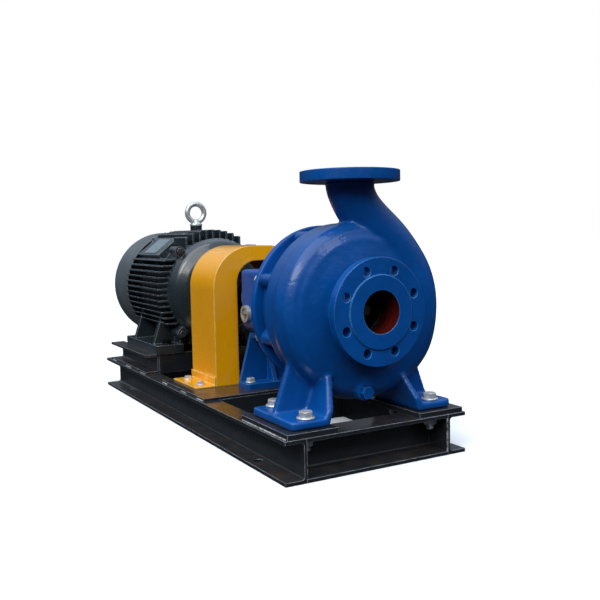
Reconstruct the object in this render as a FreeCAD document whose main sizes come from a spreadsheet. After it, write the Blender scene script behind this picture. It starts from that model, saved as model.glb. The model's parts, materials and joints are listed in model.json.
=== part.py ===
import FreeCAD, Part
import Sketcher

import math
import operator
import os

# End-suction centrifugal pump set: volute pump, guarded coupling and foot-mounted motor on a channel base.
# Frame: X across the base, Y along the shaft from the suction flange to the motor, Z up.
# The origin is the centre of the foundation bolts on the underside of the base.

doc = FreeCAD.newDocument("PumpSet")
sheet = doc.addObject("Spreadsheet::Sheet", "Sizes")
pieces = []

# Driving dimensions in millimetres: name, value, what it measures.
DIMENSIONS = [
    ("shaft_height", 290, "shaft axis above the floor"),
    ("fit_gap", 0.3, "clearance between a seated piece and its seat"),
    ("run_gap", 0.08, "radial running clearance of a shaft in its seat"),
    ("base_length", 1110, "base frame along Y"),
    ("rail_spacing", 316, "between the inner faces of the two rail webs"),
    ("rail_height", 80, "rail channel height"),
    ("rail_flange", 43, "rail channel flange width"),
    ("rail_web", 5, "rail channel web thickness"),
    ("rail_lip", 7, "rail channel flange thickness"),
    ("rail_root", 6, "rail channel root radius"),
    ("foundation_x", 360, "foundation bolts, across"),
    ("foundation_y", 810, "foundation bolts, along"),
    ("foundation_hole", 9, "foundation hole radius"),
    ("front_toes", 64, "front cross member flange width"),
    ("pad_thickness", 10, "pump pad plate thickness"),
    ("pad_width", 104, "pump pad plate across"),
    ("pad_length", 184, "pump pad plate along"),
    ("pad_edge", 6, "rail edge left clear outside the pump pad"),
    ("plate_thickness", 6, "bracket plate thickness"),
    ("plate_width", 388, "bracket plate across"),
    ("plate_start", 384, "bracket plate front edge behind the suction face"),
    ("plate_length", 266, "bracket plate along"),
    ("riser_height", 50, "motor riser channel height"),
    ("riser_flange", 37, "motor riser channel flange"),
    ("riser_web", 4.5, "motor riser channel web"),
    ("riser_lip", 6, "motor riser channel flange thickness"),
    ("riser_start", 770, "motor riser front end behind the suction face"),
    ("riser_length", 312, "motor riser along"),
    ("suction_overhang", 6, "suction face in front of the base"),
    ("suction_bore", 40, "suction bore radius"),
    ("suction_depth", 40, "machined depth of the suction bore"),
    ("suction_relief", 2.5, "cast relief behind the suction bore"),
    ("suction_radius", 100, "suction flange radius"),
    ("suction_circle", 80, "suction bolt circle radius"),
    ("suction_holes", 8, "number of suction bolts"),
    ("suction_face", 68, "suction raised face radius"),
    ("suction_thickness", 24, "suction flange thickness with its face"),
    ("face_height", 3, "raised face height"),
    ("flange_hole", 9, "flange bolt hole radius"),
    ("discharge_y", 100, "discharge centreline behind the suction face"),
    ("discharge_height", 263, "discharge face above the shaft"),
    ("discharge_bore", 33, "discharge bore radius"),
    ("discharge_radius", 95, "discharge flange radius"),
    ("discharge_circle", 72.5, "discharge bolt circle radius"),
    ("discharge_holes", 4, "number of discharge bolts"),
    ("discharge_face", 59, "discharge raised face radius"),
    ("discharge_thickness", 23, "discharge flange thickness with its face"),
    ("drum_radius", 163, "casing drum radius"),
    ("drum_end", 150, "rear of the casing drum"),
    ("barrel_radius", 142, "casing barrel radius behind the drum"),
    ("casing_end", 200, "casing rear joint face"),
    ("cover_bore", 134, "casing rear bore radius"),
    ("chamber_radius", 128, "impeller chamber radius"),
    ("chamber_front", 77, "impeller chamber front wall"),
    ("foot_height", 200, "shaft above the pump feet"),
    ("foot_spread", 360, "pump feet over all"),
    ("foot_width", 80, "pump foot across"),
    ("foot_length", 160, "pump foot along"),
    ("foot_thickness", 16, "pump foot thickness"),
    ("foot_bolts_x", 280, "pump foot bolts, across"),
    ("foot_bolts_y", 120, "pump foot bolts, along"),
    ("foot_hole", 9, "pump foot hole radius"),
    ("foot_web", 14, "pump foot web thickness"),
    ("foot_lean", 32, "pump foot wall, how far it leans in as it rises"),
    ("foot_rise", 92, "pump foot wall height"),
    ("drain_drop", 156, "drain plug below the shaft"),
    ("drain_front", 54, "drain boss front behind the suction face"),
    ("gauge_y", 35, "gauge plug behind the suction face"),
    ("plug_radius", 8, "drain and gauge plug thread radius"),
    ("stud_circle", 146, "cover stud circle radius"),
    ("stud_count", 8, "number of cover studs"),
    ("stud_radius", 6, "cover stud radius"),
    ("stud_boss", 14, "cover stud boss radius"),
    ("adapter_radius", 160, "bracket adapter flange radius"),
    ("adapter_thickness", 14, "bracket adapter flange thickness"),
    ("housing_start", 290, "bearing housing front face"),
    ("housing_end", 458, "bearing housing rear face"),
    ("housing_half", 64, "bearing housing half width"),
    ("housing_top", 66, "bearing housing top above the shaft"),
    ("housing_bottom", 80, "bearing housing bottom below the shaft"),
    ("housing_wall", 9, "bearing housing wall"),
    ("sight_drop", 33, "sight glass below the shaft"),
    ("sight_back", 30, "sight glass in front of the housing rear face"),
    ("sight_rim", 19, "sight glass rim radius"),
    ("bearing_radius", 50, "pump bearing outer radius"),
    ("bearing_bore", 22.5, "pump bearing bore radius"),
    ("bearing_width", 25, "pump bearing width"),
    ("impeller_radius", 125, "impeller radius"),
    ("impeller_width", 14, "impeller passage at the rim"),
    ("shroud", 5, "impeller shroud thickness"),
    ("vane_count", 6, "number of impeller vanes"),
    ("vane_thickness", 6, "impeller vane thickness"),
    ("eye_radius", 41, "impeller eye radius"),
    ("wear_gap", 0.4, "impeller neck in its wear ring"),
    ("nose_radius", 14, "shaft radius at the impeller"),
    ("sleeve_seat", 17, "shaft radius under the sleeve"),
    ("sleeve_radius", 21, "shaft sleeve radius"),
    ("shaft_waist", 27, "shaft radius between the bearings"),
    ("shaft_end", 570, "pump shaft end behind the suction face"),
    ("stub_radius", 16, "pump shaft end radius"),
    ("stub_length", 80, "pump shaft end length"),
    ("support_y", 440, "support foot bolts behind the suction face"),
    ("support_bolts", 110, "support foot bolts, across"),
    ("support_hole", 7, "support foot hole radius"),
    ("support_width", 150, "support foot across"),
    ("support_plate", 9, "support foot plate thickness"),
    ("guard_half", 120, "guard half width"),
    ("guard_top", 119, "guard top above the shaft"),
    ("guard_start", 488, "guard front behind the suction face"),
    ("guard_length", 144, "guard along"),
    ("guard_corner", 98, "guard corner radius"),
    ("guard_sheet", 2.5, "guard sheet thickness"),
    ("guard_band", 59, "guard end plate band width"),
    ("guard_lintel", 35, "guard end plate height over the opening"),
    ("guard_opening_corner", 52, "guard opening corner radius"),
    ("guard_foot", 50, "guard foot angle across"),
    ("guard_foot_leg", 22, "guard foot angle leg height"),
    ("guard_foot_sheet", 4, "guard foot angle thickness"),
    ("guard_bolt_x", 146, "guard bolts from the centre"),
    ("guard_bolt_pitch", 80, "guard bolts along"),
    ("guard_hole", 5.5, "guard foot hole radius"),
    ("coupling_gap", 4, "gap between the two shaft ends"),
    ("hub_radius", 54, "coupling hub flange radius"),
    ("hub_waist", 38, "coupling hub waist radius"),
    ("jaw_length", 24, "coupling jaw length"),
    ("jaw_inner", 27, "coupling jaw inner radius"),
    ("jaw_angle", 34, "coupling jaw, degrees round the shaft"),
    ("jaw_clearance", 0.5, "coupling jaw to spider, degrees"),
    ("motor_height", 160, "motor shaft above its feet"),
    ("motor_shaft", 21, "motor shaft end radius"),
    ("motor_stub", 110, "motor shaft end length"),
    ("motor_first_hole", 108, "motor shoulder to its first foot hole"),
    ("motor_foot_x", 254, "motor foot bolts, across"),
    ("motor_foot_y", 210, "motor foot bolts, along"),
    ("motor_foot_hole", 7.5, "motor foot hole radius"),
    ("motor_foot_thickness", 22, "motor foot thickness"),
    ("motor_foot_outside", 330, "motor feet over all"),
    ("motor_foot_width", 72, "motor foot across"),
    ("motor_foot_margin", 27, "motor foot past its bolts"),
    ("frame_start", 62, "motor frame front behind its shoulder"),
    ("frame_length", 300, "motor frame length"),
    ("frame_radius", 133, "motor frame barrel radius"),
    ("frame_bore", 124, "motor frame bore radius"),
    ("fin_radius", 160, "motor fin tip radius"),
    ("fin_thickness", 4, "motor fin thickness"),
    ("side_fin_pitch", 15, "motor side fin pitch"),
    ("side_fin_count", 12, "fins on each side"),
    ("top_fin_pitch", 19, "motor top fin pitch"),
    ("top_fin_count", 9, "fins on the top"),
    ("shield_radius", 137, "motor end shield radius"),
    ("ear_circle", 150, "end shield bolt circle radius"),
    ("ear_radius", 12, "end shield bolt ear radius"),
    ("cowl_radius", 155, "fan cowl radius"),
    ("cowl_sheet", 2, "fan cowl sheet thickness"),
    ("cowl_start", 350, "fan cowl front behind the motor shoulder"),
    ("cowl_end", 498, "fan cowl rear behind the motor shoulder"),
    ("core_start", 100, "stator core front behind the motor shoulder"),
    ("core_length", 200, "stator core length"),
    ("rotor_radius", 86, "rotor core radius"),
    ("air_gap", 0.6, "rotor to stator gap"),
    ("motor_bearing_radius", 50, "motor bearing outer radius"),
    ("motor_bearing_bore", 22.5, "motor bearing bore radius"),
    ("motor_bearing_width", 25, "motor bearing width"),
    ("rear_bearing_at", 372, "motor rear bearing behind the shoulder"),
    ("eye_ring", 24.5, "eye bolt ring radius to the rod centre"),
    ("eye_rod", 7, "eye bolt rod radius"),
    ("eye_thread", 8, "eye bolt thread radius"),
    ("eye_back", 15, "eye bolt in front of the middle of the frame"),
    ("plate_angle", 129, "nameplate flat, degrees round the shaft"),
    ("plate_seat", 151, "nameplate flat from the shaft axis"),
    ("pad_angle", 102, "blank top pad, degrees round the shaft"),
    ("pad_seat", 158, "blank top pad from the shaft axis"),
    ("terminal_seat", 166, "terminal box seat from the shaft axis"),
]


class Size(float):
    """A number together with the spreadsheet formula that gives it."""

    def __new__(cls, value, text):
        made = super().__new__(cls, value)
        made.text = text
        return made

    def __add__(self, other):
        return joined(self, "+", other)

    def __radd__(self, other):
        return joined(other, "+", self)

    def __sub__(self, other):
        return joined(self, "-", other)

    def __rsub__(self, other):
        return joined(other, "-", self)

    def __mul__(self, other):
        return joined(self, "*", other)

    def __rmul__(self, other):
        return joined(other, "*", self)

    def __truediv__(self, other):
        return joined(self, "/", other)

    def __neg__(self):
        return joined(0, "-", self)


OPERATORS = {"+": operator.add, "-": operator.sub, "*": operator.mul, "/": operator.truediv}


def formula(value):
    """The spreadsheet text of a Size, or the digits of a plain number."""
    return value.text if isinstance(value, Size) else repr(float(value))


def joined(left, sign, right):
    """Two numbers joined by an operator, in value and in text."""
    value = OPERATORS[sign](float(left), float(right))
    return Size(value, f"({formula(left)} {sign} {formula(right)})")


class Dimensions:
    """The sheet's cells as attributes."""


d = Dimensions()
for row, (alias, amount, note) in enumerate(DIMENSIONS, start=1):
    sheet.set(f"A{row}", alias)
    sheet.set(f"B{row}", str(amount))
    sheet.set(f"C{row}", note)
    sheet.setAlias(f"B{row}", alias)
doc.recompute()
for alias, amount, note in DIMENSIONS:
    setattr(d, alias, Size(float(sheet.get(alias)), f"Sizes.{alias}"))

suction_y = -(d.base_length / 2) - d.suction_overhang
motor_shoulder = d.shaft_end + d.coupling_gap + d.motor_stub
motor_y = suction_y + motor_shoulder
pump_feet_z = d.shaft_height - d.foot_height
motor_feet_z = d.shaft_height - d.motor_height
rail_outside = d.rail_spacing / 2 + d.rail_flange

# How much thinner a threaded shank is drawn than the hole that holds it.
THREAD_GAP = 0.15


# Helpers: placing, binding, sketching.

def place(thing, at):
    """Puts a piece at a point whose coordinates may be sheet formulas."""
    thing.Placement = FreeCAD.Placement(FreeCAD.Vector(*at), FreeCAD.Rotation())
    for axis, value in zip("xyz", at):
        if isinstance(value, Size):
            thing.setExpression(f"Placement.Base.{axis}", value.text)


def bind(thing, name, value):
    """Sets a property, and binds it to the sheet where the value is a formula."""
    setattr(thing, name, float(value))
    if isinstance(value, Size):
        thing.setExpression(name, value.text)


def body(label, at=(0, 0, 0)):
    """An empty PartDesign body that will be one sub-part."""
    made = doc.addObject("PartDesign::Body", label)
    made.Label = label
    place(made, at)
    pieces.append(made)
    return made


def grouped(label, members):
    """One piece made of several like bodies."""
    made = doc.addObject("Part::Compound", label)
    made.Label = label
    made.Links = members
    for member in members:
        pieces.remove(member)
    pieces.append(made)
    return made


def origin_plane(owner, role):
    """One of a body's own origin planes."""
    return next(item for item in owner.Origin.OriginFeatures if item.Role == role)


class Round:
    """A circle in a sketch."""

    def __init__(self, u, v, radius):
        self.u = u
        self.v = v
        self.radius = radius


def fix_point(drawn, geometry, corner, u, v):
    """Holds a sketch point at (u, v) from the sketch's origin."""
    for kind, value in (("DistanceX", u), ("DistanceY", v)):
        index = drawn.addConstraint(Sketcher.Constraint(kind, -1, 1, geometry, corner, float(value)))
        if isinstance(value, Size):
            drawn.setExpression(f"Constraints[{index}]", value.text)


def sketch(owner, role, loops, lift=0):
    """A sketch of closed loops on an origin plane, raised by lift along its normal."""
    drawn = owner.newObject("Sketcher::SketchObject", owner.Name + "_sketch")
    drawn.AttachmentSupport = [(origin_plane(owner, role), "")]
    drawn.MapMode = "FlatFace"
    drawn.AttachmentOffset = FreeCAD.Placement(FreeCAD.Vector(0, 0, float(lift)), FreeCAD.Rotation())
    if isinstance(lift, Size):
        drawn.setExpression("AttachmentOffset.Base.z", lift.text)
    for loop in loops:
        if isinstance(loop, Round):
            add_circle(drawn, loop)
        else:
            add_polygon(drawn, loop)
    return drawn


def add_circle(drawn, loop):
    """A circle with its centre and radius bound."""
    centre = FreeCAD.Vector(loop.u, loop.v, 0)
    index = drawn.addGeometry(Part.Circle(centre, FreeCAD.Vector(0, 0, 1), float(loop.radius)), False)
    fix_point(drawn, index, 3, loop.u, loop.v)
    held = drawn.addConstraint(Sketcher.Constraint("Radius", index, float(loop.radius)))
    if isinstance(loop.radius, Size):
        drawn.setExpression(f"Constraints[{held}]", loop.radius.text)


def add_polygon(drawn, loop):
    """A closed run of straight lines with every corner bound."""
    points = [FreeCAD.Vector(u, v, 0) for u, v in loop]
    lines = [Part.LineSegment(a, b) for a, b in zip(points, points[1:] + points[:1])]
    first = drawn.addGeometry(lines, False)[0]
    for step in range(len(loop)):
        follower = first + (step + 1) % len(loop)
        drawn.addConstraint(Sketcher.Constraint("Coincident", first + step, 2, follower, 1))
        fix_point(drawn, first + step, 1, *loop[step])


def pad(owner, role, loops, length, lift=0, reverse=False, symmetric=False):
    """Pads loops drawn on an origin plane."""
    drawn = sketch(owner, role, loops, lift)
    feature = owner.newObject("PartDesign::Pad", owner.Name + "_pad")
    feature.Profile = drawn
    bind(feature, "Length", length)
    feature.Reversed = reverse
    if symmetric:
        feature.SideType = "Symmetric"
    doc.recompute()
    return feature


def pocket(owner, role, loops, length, lift=0, reverse=False, symmetric=False):
    """Cuts loops into the body, and makes sure that something was cut."""
    before = owner.Shape.Volume
    drawn = sketch(owner, role, loops, lift)
    feature = owner.newObject("PartDesign::Pocket", owner.Name + "_pocket")
    feature.Profile = drawn
    bind(feature, "Length", length)
    feature.Reversed = reverse
    if symmetric:
        feature.SideType = "Symmetric"
    doc.recompute()
    if owner.Shape.Volume > before - 1e-3:
        raise RuntimeError(f"a pocket of {owner.Label} cuts nothing")
    return feature


def spin(owner, loops, role="XY_Plane"):
    """Turns loops about the vertical axis of their sketch: Y in the XY plane, Z in the XZ plane."""
    drawn = sketch(owner, role, loops)
    feature = owner.newObject("PartDesign::Revolution", owner.Name + "_turn")
    feature.Profile = drawn
    feature.ReferenceAxis = (drawn, ["V_Axis"])
    feature.Angle = 360
    doc.recompute()
    return feature


def soften(owner, radius, chosen):
    """Fillets the edges of the body's tip for which chosen(edge) is true."""
    base = owner.Tip
    names = [f"Edge{i}" for i, edge in enumerate(base.Shape.Edges, start=1) if chosen(edge)]
    if not names:
        raise RuntimeError(f"no edge to fillet on {owner.Label}")
    feature = owner.newObject("PartDesign::Fillet", owner.Name + "_fillet")
    feature.Base = (base, names)
    bind(feature, "Radius", radius)
    doc.recompute()
    return feature


def runs_along(axis, *places):
    """Chooses straight edges along an axis at given places of the two other coordinates."""
    others = [name for name in "xyz" if name != axis]

    def chosen(edge):
        if len(edge.Vertexes) != 2:
            return False
        start, end = (vertex.Point for vertex in edge.Vertexes)
        if any(abs(getattr(start, name) - getattr(end, name)) > 1e-4 for name in others):
            return False
        return any(
            all(abs(getattr(start, name) - value) < 1e-3 for name, value in zip(others, where))
            for where in places
        )

    return chosen


def box_loop(u0, v0, u1, v1):
    """A rectangle's four corners."""
    return [(u0, v0), (u1, v0), (u1, v1), (u0, v1)]


def ring_loop(inner, outer, start, end):
    """Half section of a plain ring about the vertical axis of a sketch."""
    return box_loop(inner, start, outer, end)


# Helpers for castings: shapes from Part's own functions.

def shaped(label, shape, at=(0, 0, 0)):
    """A piece whose shape is worked out here from the sheet's values."""
    made = doc.addObject("Part::Feature", label)
    made.Label = label
    made.Shape = shape if shape.Placement.isIdentity() else Part.makeCompound([shape])
    place(made, at)
    pieces.append(made)
    return made


def rounded_wire(corners, lift):
    """A closed wire through (u, v) or (u, v, radius) corners, with tangent arcs at the radii."""
    points = [lift(corner[0], corner[1]) for corner in corners]
    radii = [corner[2] if len(corner) > 2 else 0 for corner in corners]
    spans = []
    for index, point in enumerate(points):
        back = (points[index - 1] - point).normalize()
        ahead = (points[(index + 1) % len(points)] - point).normalize()
        half = back.getAngle(ahead) / 2
        reach = radii[index] / math.tan(half)
        away = radii[index] / math.sin(half) - radii[index]
        middle = (back + ahead).normalize() * away if radii[index] else None
        spans.append((point + back * reach, middle and point + middle, point + ahead * reach))
    edges = []
    for index, (start, middle, end) in enumerate(spans):
        if middle:
            edges.append(Part.Arc(start, middle, end).toShape())
        following = spans[(index + 1) % len(spans)][0]
        if (following - end).Length > 1e-6:
            edges.append(Part.LineSegment(end, following).toShape())
    return Part.Wire(edges)


def upright(solid):
    """The same solid with its faces outward."""
    if solid.Volume < 0:
        solid.reverse()
    return solid


def turned(corners):
    """A solid turned about Y from (radius, y) corners."""
    face = Part.Face(rounded_wire(corners, lambda u, v: FreeCAD.Vector(u, v, 0)))
    return upright(face.revolve(FreeCAD.Vector(0, 0, 0), FreeCAD.Vector(0, 1, 0), 360))


def turned_up(corners, x=0, y=0):
    """A solid turned about a vertical axis at (x, y) from (radius, z) corners."""
    face = Part.Face(rounded_wire(corners, lambda u, v: FreeCAD.Vector(x + u, y, v)))
    return upright(face.revolve(FreeCAD.Vector(x, y, 0), FreeCAD.Vector(0, 0, 1), 360))


def ring(inner, outer, start, end):
    """A plain ring about Y."""
    return turned(ring_loop(inner, outer, start, end))


def rod(radius, start, end):
    """A solid rod about Y."""
    return Part.makeCylinder(radius, end - start, FreeCAD.Vector(0, start, 0), FreeCAD.Vector(0, 1, 0))


def upright_rod(radius, x, y, z0, z1):
    """A solid rod along Z."""
    return Part.makeCylinder(radius, z1 - z0, FreeCAD.Vector(x, y, z0))


def block(x0, x1, y0, y1, z0, z1):
    """A box between two corners."""
    return Part.makeBox(x1 - x0, y1 - y0, z1 - z0, FreeCAD.Vector(x0, y0, z0))


def profile_along_y(corners, y0, y1):
    """A prism along Y from (x, z) corners."""
    face = Part.Face(rounded_wire(corners, lambda u, v: FreeCAD.Vector(u, y0, v)))
    return upright(face.extrude(FreeCAD.Vector(0, y1 - y0, 0)))


def profile_along_x(corners, x0, x1):
    """A prism along X from (y, z) corners."""
    face = Part.Face(rounded_wire(corners, lambda u, v: FreeCAD.Vector(x0, u, v)))
    return upright(face.extrude(FreeCAD.Vector(x1 - x0, 0, 0)))


def profile_along_z(corners, z0, z1):
    """A prism along Z from (x, y) corners."""
    face = Part.Face(rounded_wire(corners, lambda u, v: FreeCAD.Vector(u, v, z0)))
    return upright(face.extrude(FreeCAD.Vector(0, 0, z1 - z0)))


def around(count, radius, start_degrees=0.0):
    """Points (x, z) on a circle about the shaft."""
    for index in range(int(count)):
        angle = math.radians(start_degrees + 360 * index / int(count))
        yield radius * math.cos(angle), radius * math.sin(angle)


def turned_copies(shape, count, start_degrees=0.0):
    """Copies of a shape about the shaft axis."""
    copies = []
    for index in range(int(count)):
        copy = shape.copy()
        angle = start_degrees + 360 * index / int(count)
        copy.rotate(FreeCAD.Vector(0, 0, 0), FreeCAD.Vector(0, -1, 0), angle)
        copies.append(copy)
    return copies


def merged(shapes):
    """Shapes fused into one, with split faces joined."""
    first, *rest = shapes
    return first.fuse(rest).removeSplitter()


def cast(shapes):
    """Curved shapes fused one after another."""
    whole, *rest = shapes
    for shape in rest:
        whole = whole.fuse(shape)
    return whole


def hexagon(across, x, y, z, height, axis=FreeCAD.Vector(0, 0, 1)):
    """A hexagonal head of a width across flats, standing on (x, y, z) along an axis."""
    reach = across / math.sqrt(3)
    turns = [math.radians(60 * index) for index in range(6)]
    corners = [FreeCAD.Vector(reach * math.cos(turn), reach * math.sin(turn), 0) for turn in turns]
    head = Part.Face(Part.makePolygon(corners + corners[:1])).extrude(FreeCAD.Vector(0, 0, height))
    head.Placement = FreeCAD.Placement(
        FreeCAD.Vector(x, y, z), FreeCAD.Rotation(FreeCAD.Vector(0, 0, 1), axis)
    )
    return head


def bolt_down(x, y, top, bottom, radius, with_nut=True):
    """A bolt with head and washer above top, and a washer and nut below bottom."""
    washer = 0.4 * radius
    head = 1.3 * radius
    parts = [
        upright_rod(2.1 * radius, x, y, top, top + washer),
        hexagon(3 * radius, x, y, top + washer, head),
        upright_rod(radius, x, y, bottom - (3.2 * radius if with_nut else 0), top + washer),
    ]
    if with_nut:
        parts.append(upright_rod(2.1 * radius, x, y, bottom - washer, bottom))
        parts.append(hexagon(3 * radius, x, y, bottom - washer - 1.6 * radius, 1.6 * radius))
    return merged(parts)


def bolt_along(x, z, seat, depth, radius, direction=1):
    """A hexagon bolt along Y whose head stands on seat and whose shank enters by depth."""
    axis = FreeCAD.Vector(0, direction, 0)
    head = hexagon(3 * radius, x, seat, z, 1.3 * radius, axis)
    start = FreeCAD.Vector(x, seat - direction * depth, z)
    shank = Part.makeCylinder(radius, depth + radius, start, axis)
    return merged([head, shank])


# Base frame.

def channel_loop(height, flange, web, lip, toes):
    """A channel section with its web's back on u = 0 and its toes towards +u or -u."""
    reach = [(0, 0), (flange, 0), (flange, lip), (web, lip), (web, height - lip),
             (flange, height - lip), (flange, height), (0, height)]
    return [(u * toes, v) for u, v in reach]


def make_rail(label, side):
    """One long base channel, web inside and toes outside, with its two foundation holes."""
    rail = body(label, (side * d.rail_spacing / 2, -d.base_length / 2, 0))
    section = channel_loop(d.rail_height, d.rail_flange, d.rail_web, d.rail_lip, side)
    pad(rail, "XZ_Plane", [section], d.base_length, reverse=True)
    inner = [(side * float(d.rail_web), float(d.rail_lip)),
             (side * float(d.rail_web), float(d.rail_height - d.rail_lip))]
    soften(rail, d.rail_root, runs_along("y", *inner))
    offset = side * (d.foundation_x / 2 - d.rail_spacing / 2)
    middle = d.base_length / 2
    holes = [Round(offset, middle + end * d.foundation_y / 2, d.foundation_hole) for end in (-1, 1)]
    pocket(rail, "XY_Plane", holes, d.rail_lip, reverse=True)


def make_cross_member(label, y, toes, flange):
    """A channel across the base between the rail webs."""
    member = body(label, (0, y, 0))
    section = channel_loop(d.rail_height, flange, d.rail_web, d.rail_lip, toes)
    pad(member, "YZ_Plane", [section], d.rail_spacing, symmetric=True)
    inner = [(toes * float(d.rail_web), float(d.rail_lip)),
             (toes * float(d.rail_web), float(d.rail_height - d.rail_lip))]
    soften(member, d.rail_root, runs_along("x", *inner))
    return member


def make_pump_pad(label, side):
    """A steel plate on the rail that carries one pump foot."""
    outer = rail_outside - d.pad_edge
    plate = body(label, (0, suction_y + d.discharge_y, d.rail_height))
    edge = d.pad_length / 2
    bolts = [Round(side * d.foot_bolts_x / 2, end * d.foot_bolts_y / 2, d.foot_hole) for end in (-1, 1)]
    outline = box_loop(side * outer, -edge, side * (outer - d.pad_width), edge)
    pad(plate, "XY_Plane", [outline] + bolts, d.pad_thickness)
    return plate


def guard_bolt_places():
    """Guard bolt centres, x and distance behind the suction face."""
    middle = d.guard_start + d.guard_length / 2
    return [(side * d.guard_bolt_x, middle + end * d.guard_bolt_pitch / 2)
            for side in (-1, 1) for end in (-1, 1)]


def make_bracket_plate():
    """The plate across the rails under the support foot and the coupling guard."""
    plate = body("bracket_plate", (0, suction_y, d.rail_height))
    outline = box_loop(-d.plate_width / 2, d.plate_start, d.plate_width / 2, d.plate_start + d.plate_length)
    holes = [Round(side * d.support_bolts / 2, d.support_y, d.support_hole) for side in (-1, 1)]
    holes += [Round(x, y, d.guard_hole) for x, y in guard_bolt_places()]
    pad(plate, "XY_Plane", [outline] + holes, d.plate_thickness)


def make_riser(label, side):
    """A smaller channel on the rail that lifts the motor to the shaft height."""
    riser = body(label, (side * d.rail_spacing / 2, suction_y + d.riser_start, d.rail_height))
    section = channel_loop(d.riser_height, d.riser_flange, d.riser_web, d.riser_lip, side)
    pad(riser, "XZ_Plane", [section], d.riser_length, reverse=True)
    inner = [(side * float(d.riser_web), float(d.riser_lip)),
             (side * float(d.riser_web), float(d.riser_height - d.riser_lip))]
    soften(riser, d.riser_lip * 0.8, runs_along("y", *inner))


def make_motor_bearer(label, hole_y, toes):
    """A channel between the risers under one pair of motor foot bolts."""
    bearer = body(label, (0, hole_y - toes * d.riser_flange * 0.6, d.rail_height))
    section = channel_loop(d.riser_height, d.riser_flange, d.riser_web, d.riser_lip, toes)
    pad(bearer, "YZ_Plane", [section], d.rail_spacing, symmetric=True)
    holes = [Round(side * d.motor_foot_x / 2, toes * d.riser_flange * 0.6, d.motor_foot_hole)
             for side in (-1, 1)]
    pocket(bearer, "XY_Plane", holes, d.riser_lip, lift=d.riser_height)
    return bearer


# Pump casing.

# Volute horn, outside and passage: polar angle in degrees, centre radius, tube radius.
HORN_TURN = [(75, 133, 27), (120, 133, 31), (180, 130, 36), (225, 130, 39), (270, 131, 45),
             (300, 139, 50), (330, 144, 52), (360, 141, 52)]
PASSAGE_TURN = [(75, 131, 8), (120, 133, 10), (180, 137, 14), (225, 140, 18), (270, 145, 21),
                (300, 149, 25), (330, 153, 27), (360, 155, 28)]

# Swan neck, outside and passage: x, z, direction in degrees from +X towards +Z, tube radius.
HORN_NECK = [(138.5, 26, 98, 52), (131, 51, 106, 52), (121, 73, 114, 51), (108, 93, 121, 50),
             (78, 130, 133, 48), (46, 161, 131, 46), (20, 190, 118, 44.5), (5, 215, 102, 45)]
PASSAGE_NECK = [(152, 29, 98, 28), (144, 58, 106, 27.5), (119, 101, 122, 27), (86, 137, 134, 27),
                (52, 167, 133, 27.5), (26, 196, 122, 28.5), (6, 222, 103, 31)]

# The polar angle at which the two lengths of a horn meet, and the angle between its sections.
HORN_JOINT = 180
HORN_STEP = 15


def section_circle(x, z, degrees, radius):
    """A circle about (x, z) in the discharge plane, square to a direction in that plane."""
    angle = math.radians(degrees)
    across = FreeCAD.Vector(0, 1, 0)
    along = FreeCAD.Vector(math.cos(angle), 0, math.sin(angle))
    circle = Part.Wire(Part.makeCircle(radius))
    turn = FreeCAD.Rotation(across, along.cross(across), along, "ZXY")
    circle.Placement = FreeCAD.Placement(FreeCAD.Vector(x, d.discharge_y, z), turn)
    return circle


def tube_through(wires):
    """A smooth solid through circular sections."""
    return upright(Part.makeLoft(wires, True, False))


def spiral_sections(turn, first, last):
    """Sections of a horn's spiral from one polar angle to another, each between its two stated ones."""
    sections = []
    for degrees in range(first, last + 1, HORN_STEP):
        below = [row for row in turn if row[0] <= degrees][-1]
        above = [row for row in turn if row[0] >= degrees][0]
        share = (degrees - below[0]) / max(above[0] - below[0], 1)
        centre_radius = below[1] + share * (above[1] - below[1])
        tube_radius = below[2] + share * (above[2] - below[2])
        angle = math.radians(degrees)
        x = centre_radius * math.cos(angle)
        z = centre_radius * math.sin(angle)
        sections.append(section_circle(x, z, degrees + 90, tube_radius))
    return sections


def horn(turn, neck, end_radius, end_height):
    """A spiral tube round the shaft that rises as a swan neck to the discharge flange, in two lengths."""
    narrow = spiral_sections(turn, turn[0][0], HORN_JOINT)
    wide = spiral_sections(turn, HORN_JOINT, turn[-1][0])
    wide += [section_circle(*step) for step in neck]
    wide.append(section_circle(0, end_height, 90, end_radius))
    return [tube_through(narrow), tube_through(wide)]


def suction_flange():
    """Suction flange, raised face and the flared nozzle behind it, with the dished casing front."""
    neck = d.suction_bore + 17
    return turned([
        (0, 0), (d.suction_face, 0), (d.suction_face, d.face_height),
        (d.suction_radius, d.face_height, 1), (d.suction_radius, d.suction_thickness, 1),
        (neck, d.suction_thickness, 5), (neck, 40, 8), (84, 48, 20), (122, 55, 14), (136, 57, 1),
        (136.5, 59.5, 1), (149, 63, 10), (d.drum_radius, 75, 12), (d.drum_radius, d.drum_end, 3),
        (d.barrel_radius, d.drum_end, 4), (d.barrel_radius, d.casing_end), (0, d.casing_end),
    ])


def discharge_flange():
    """Discharge flange with its raised face, about the vertical discharge centreline."""
    top = d.discharge_height
    under = top - d.discharge_thickness
    return turned_up([
        (0, under), (d.discharge_radius, under, 0.8), (d.discharge_radius, top - d.face_height, 0.8),
        (d.discharge_face, top - d.face_height), (d.discharge_face, top), (0, top),
    ], 0, d.discharge_y)


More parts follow.
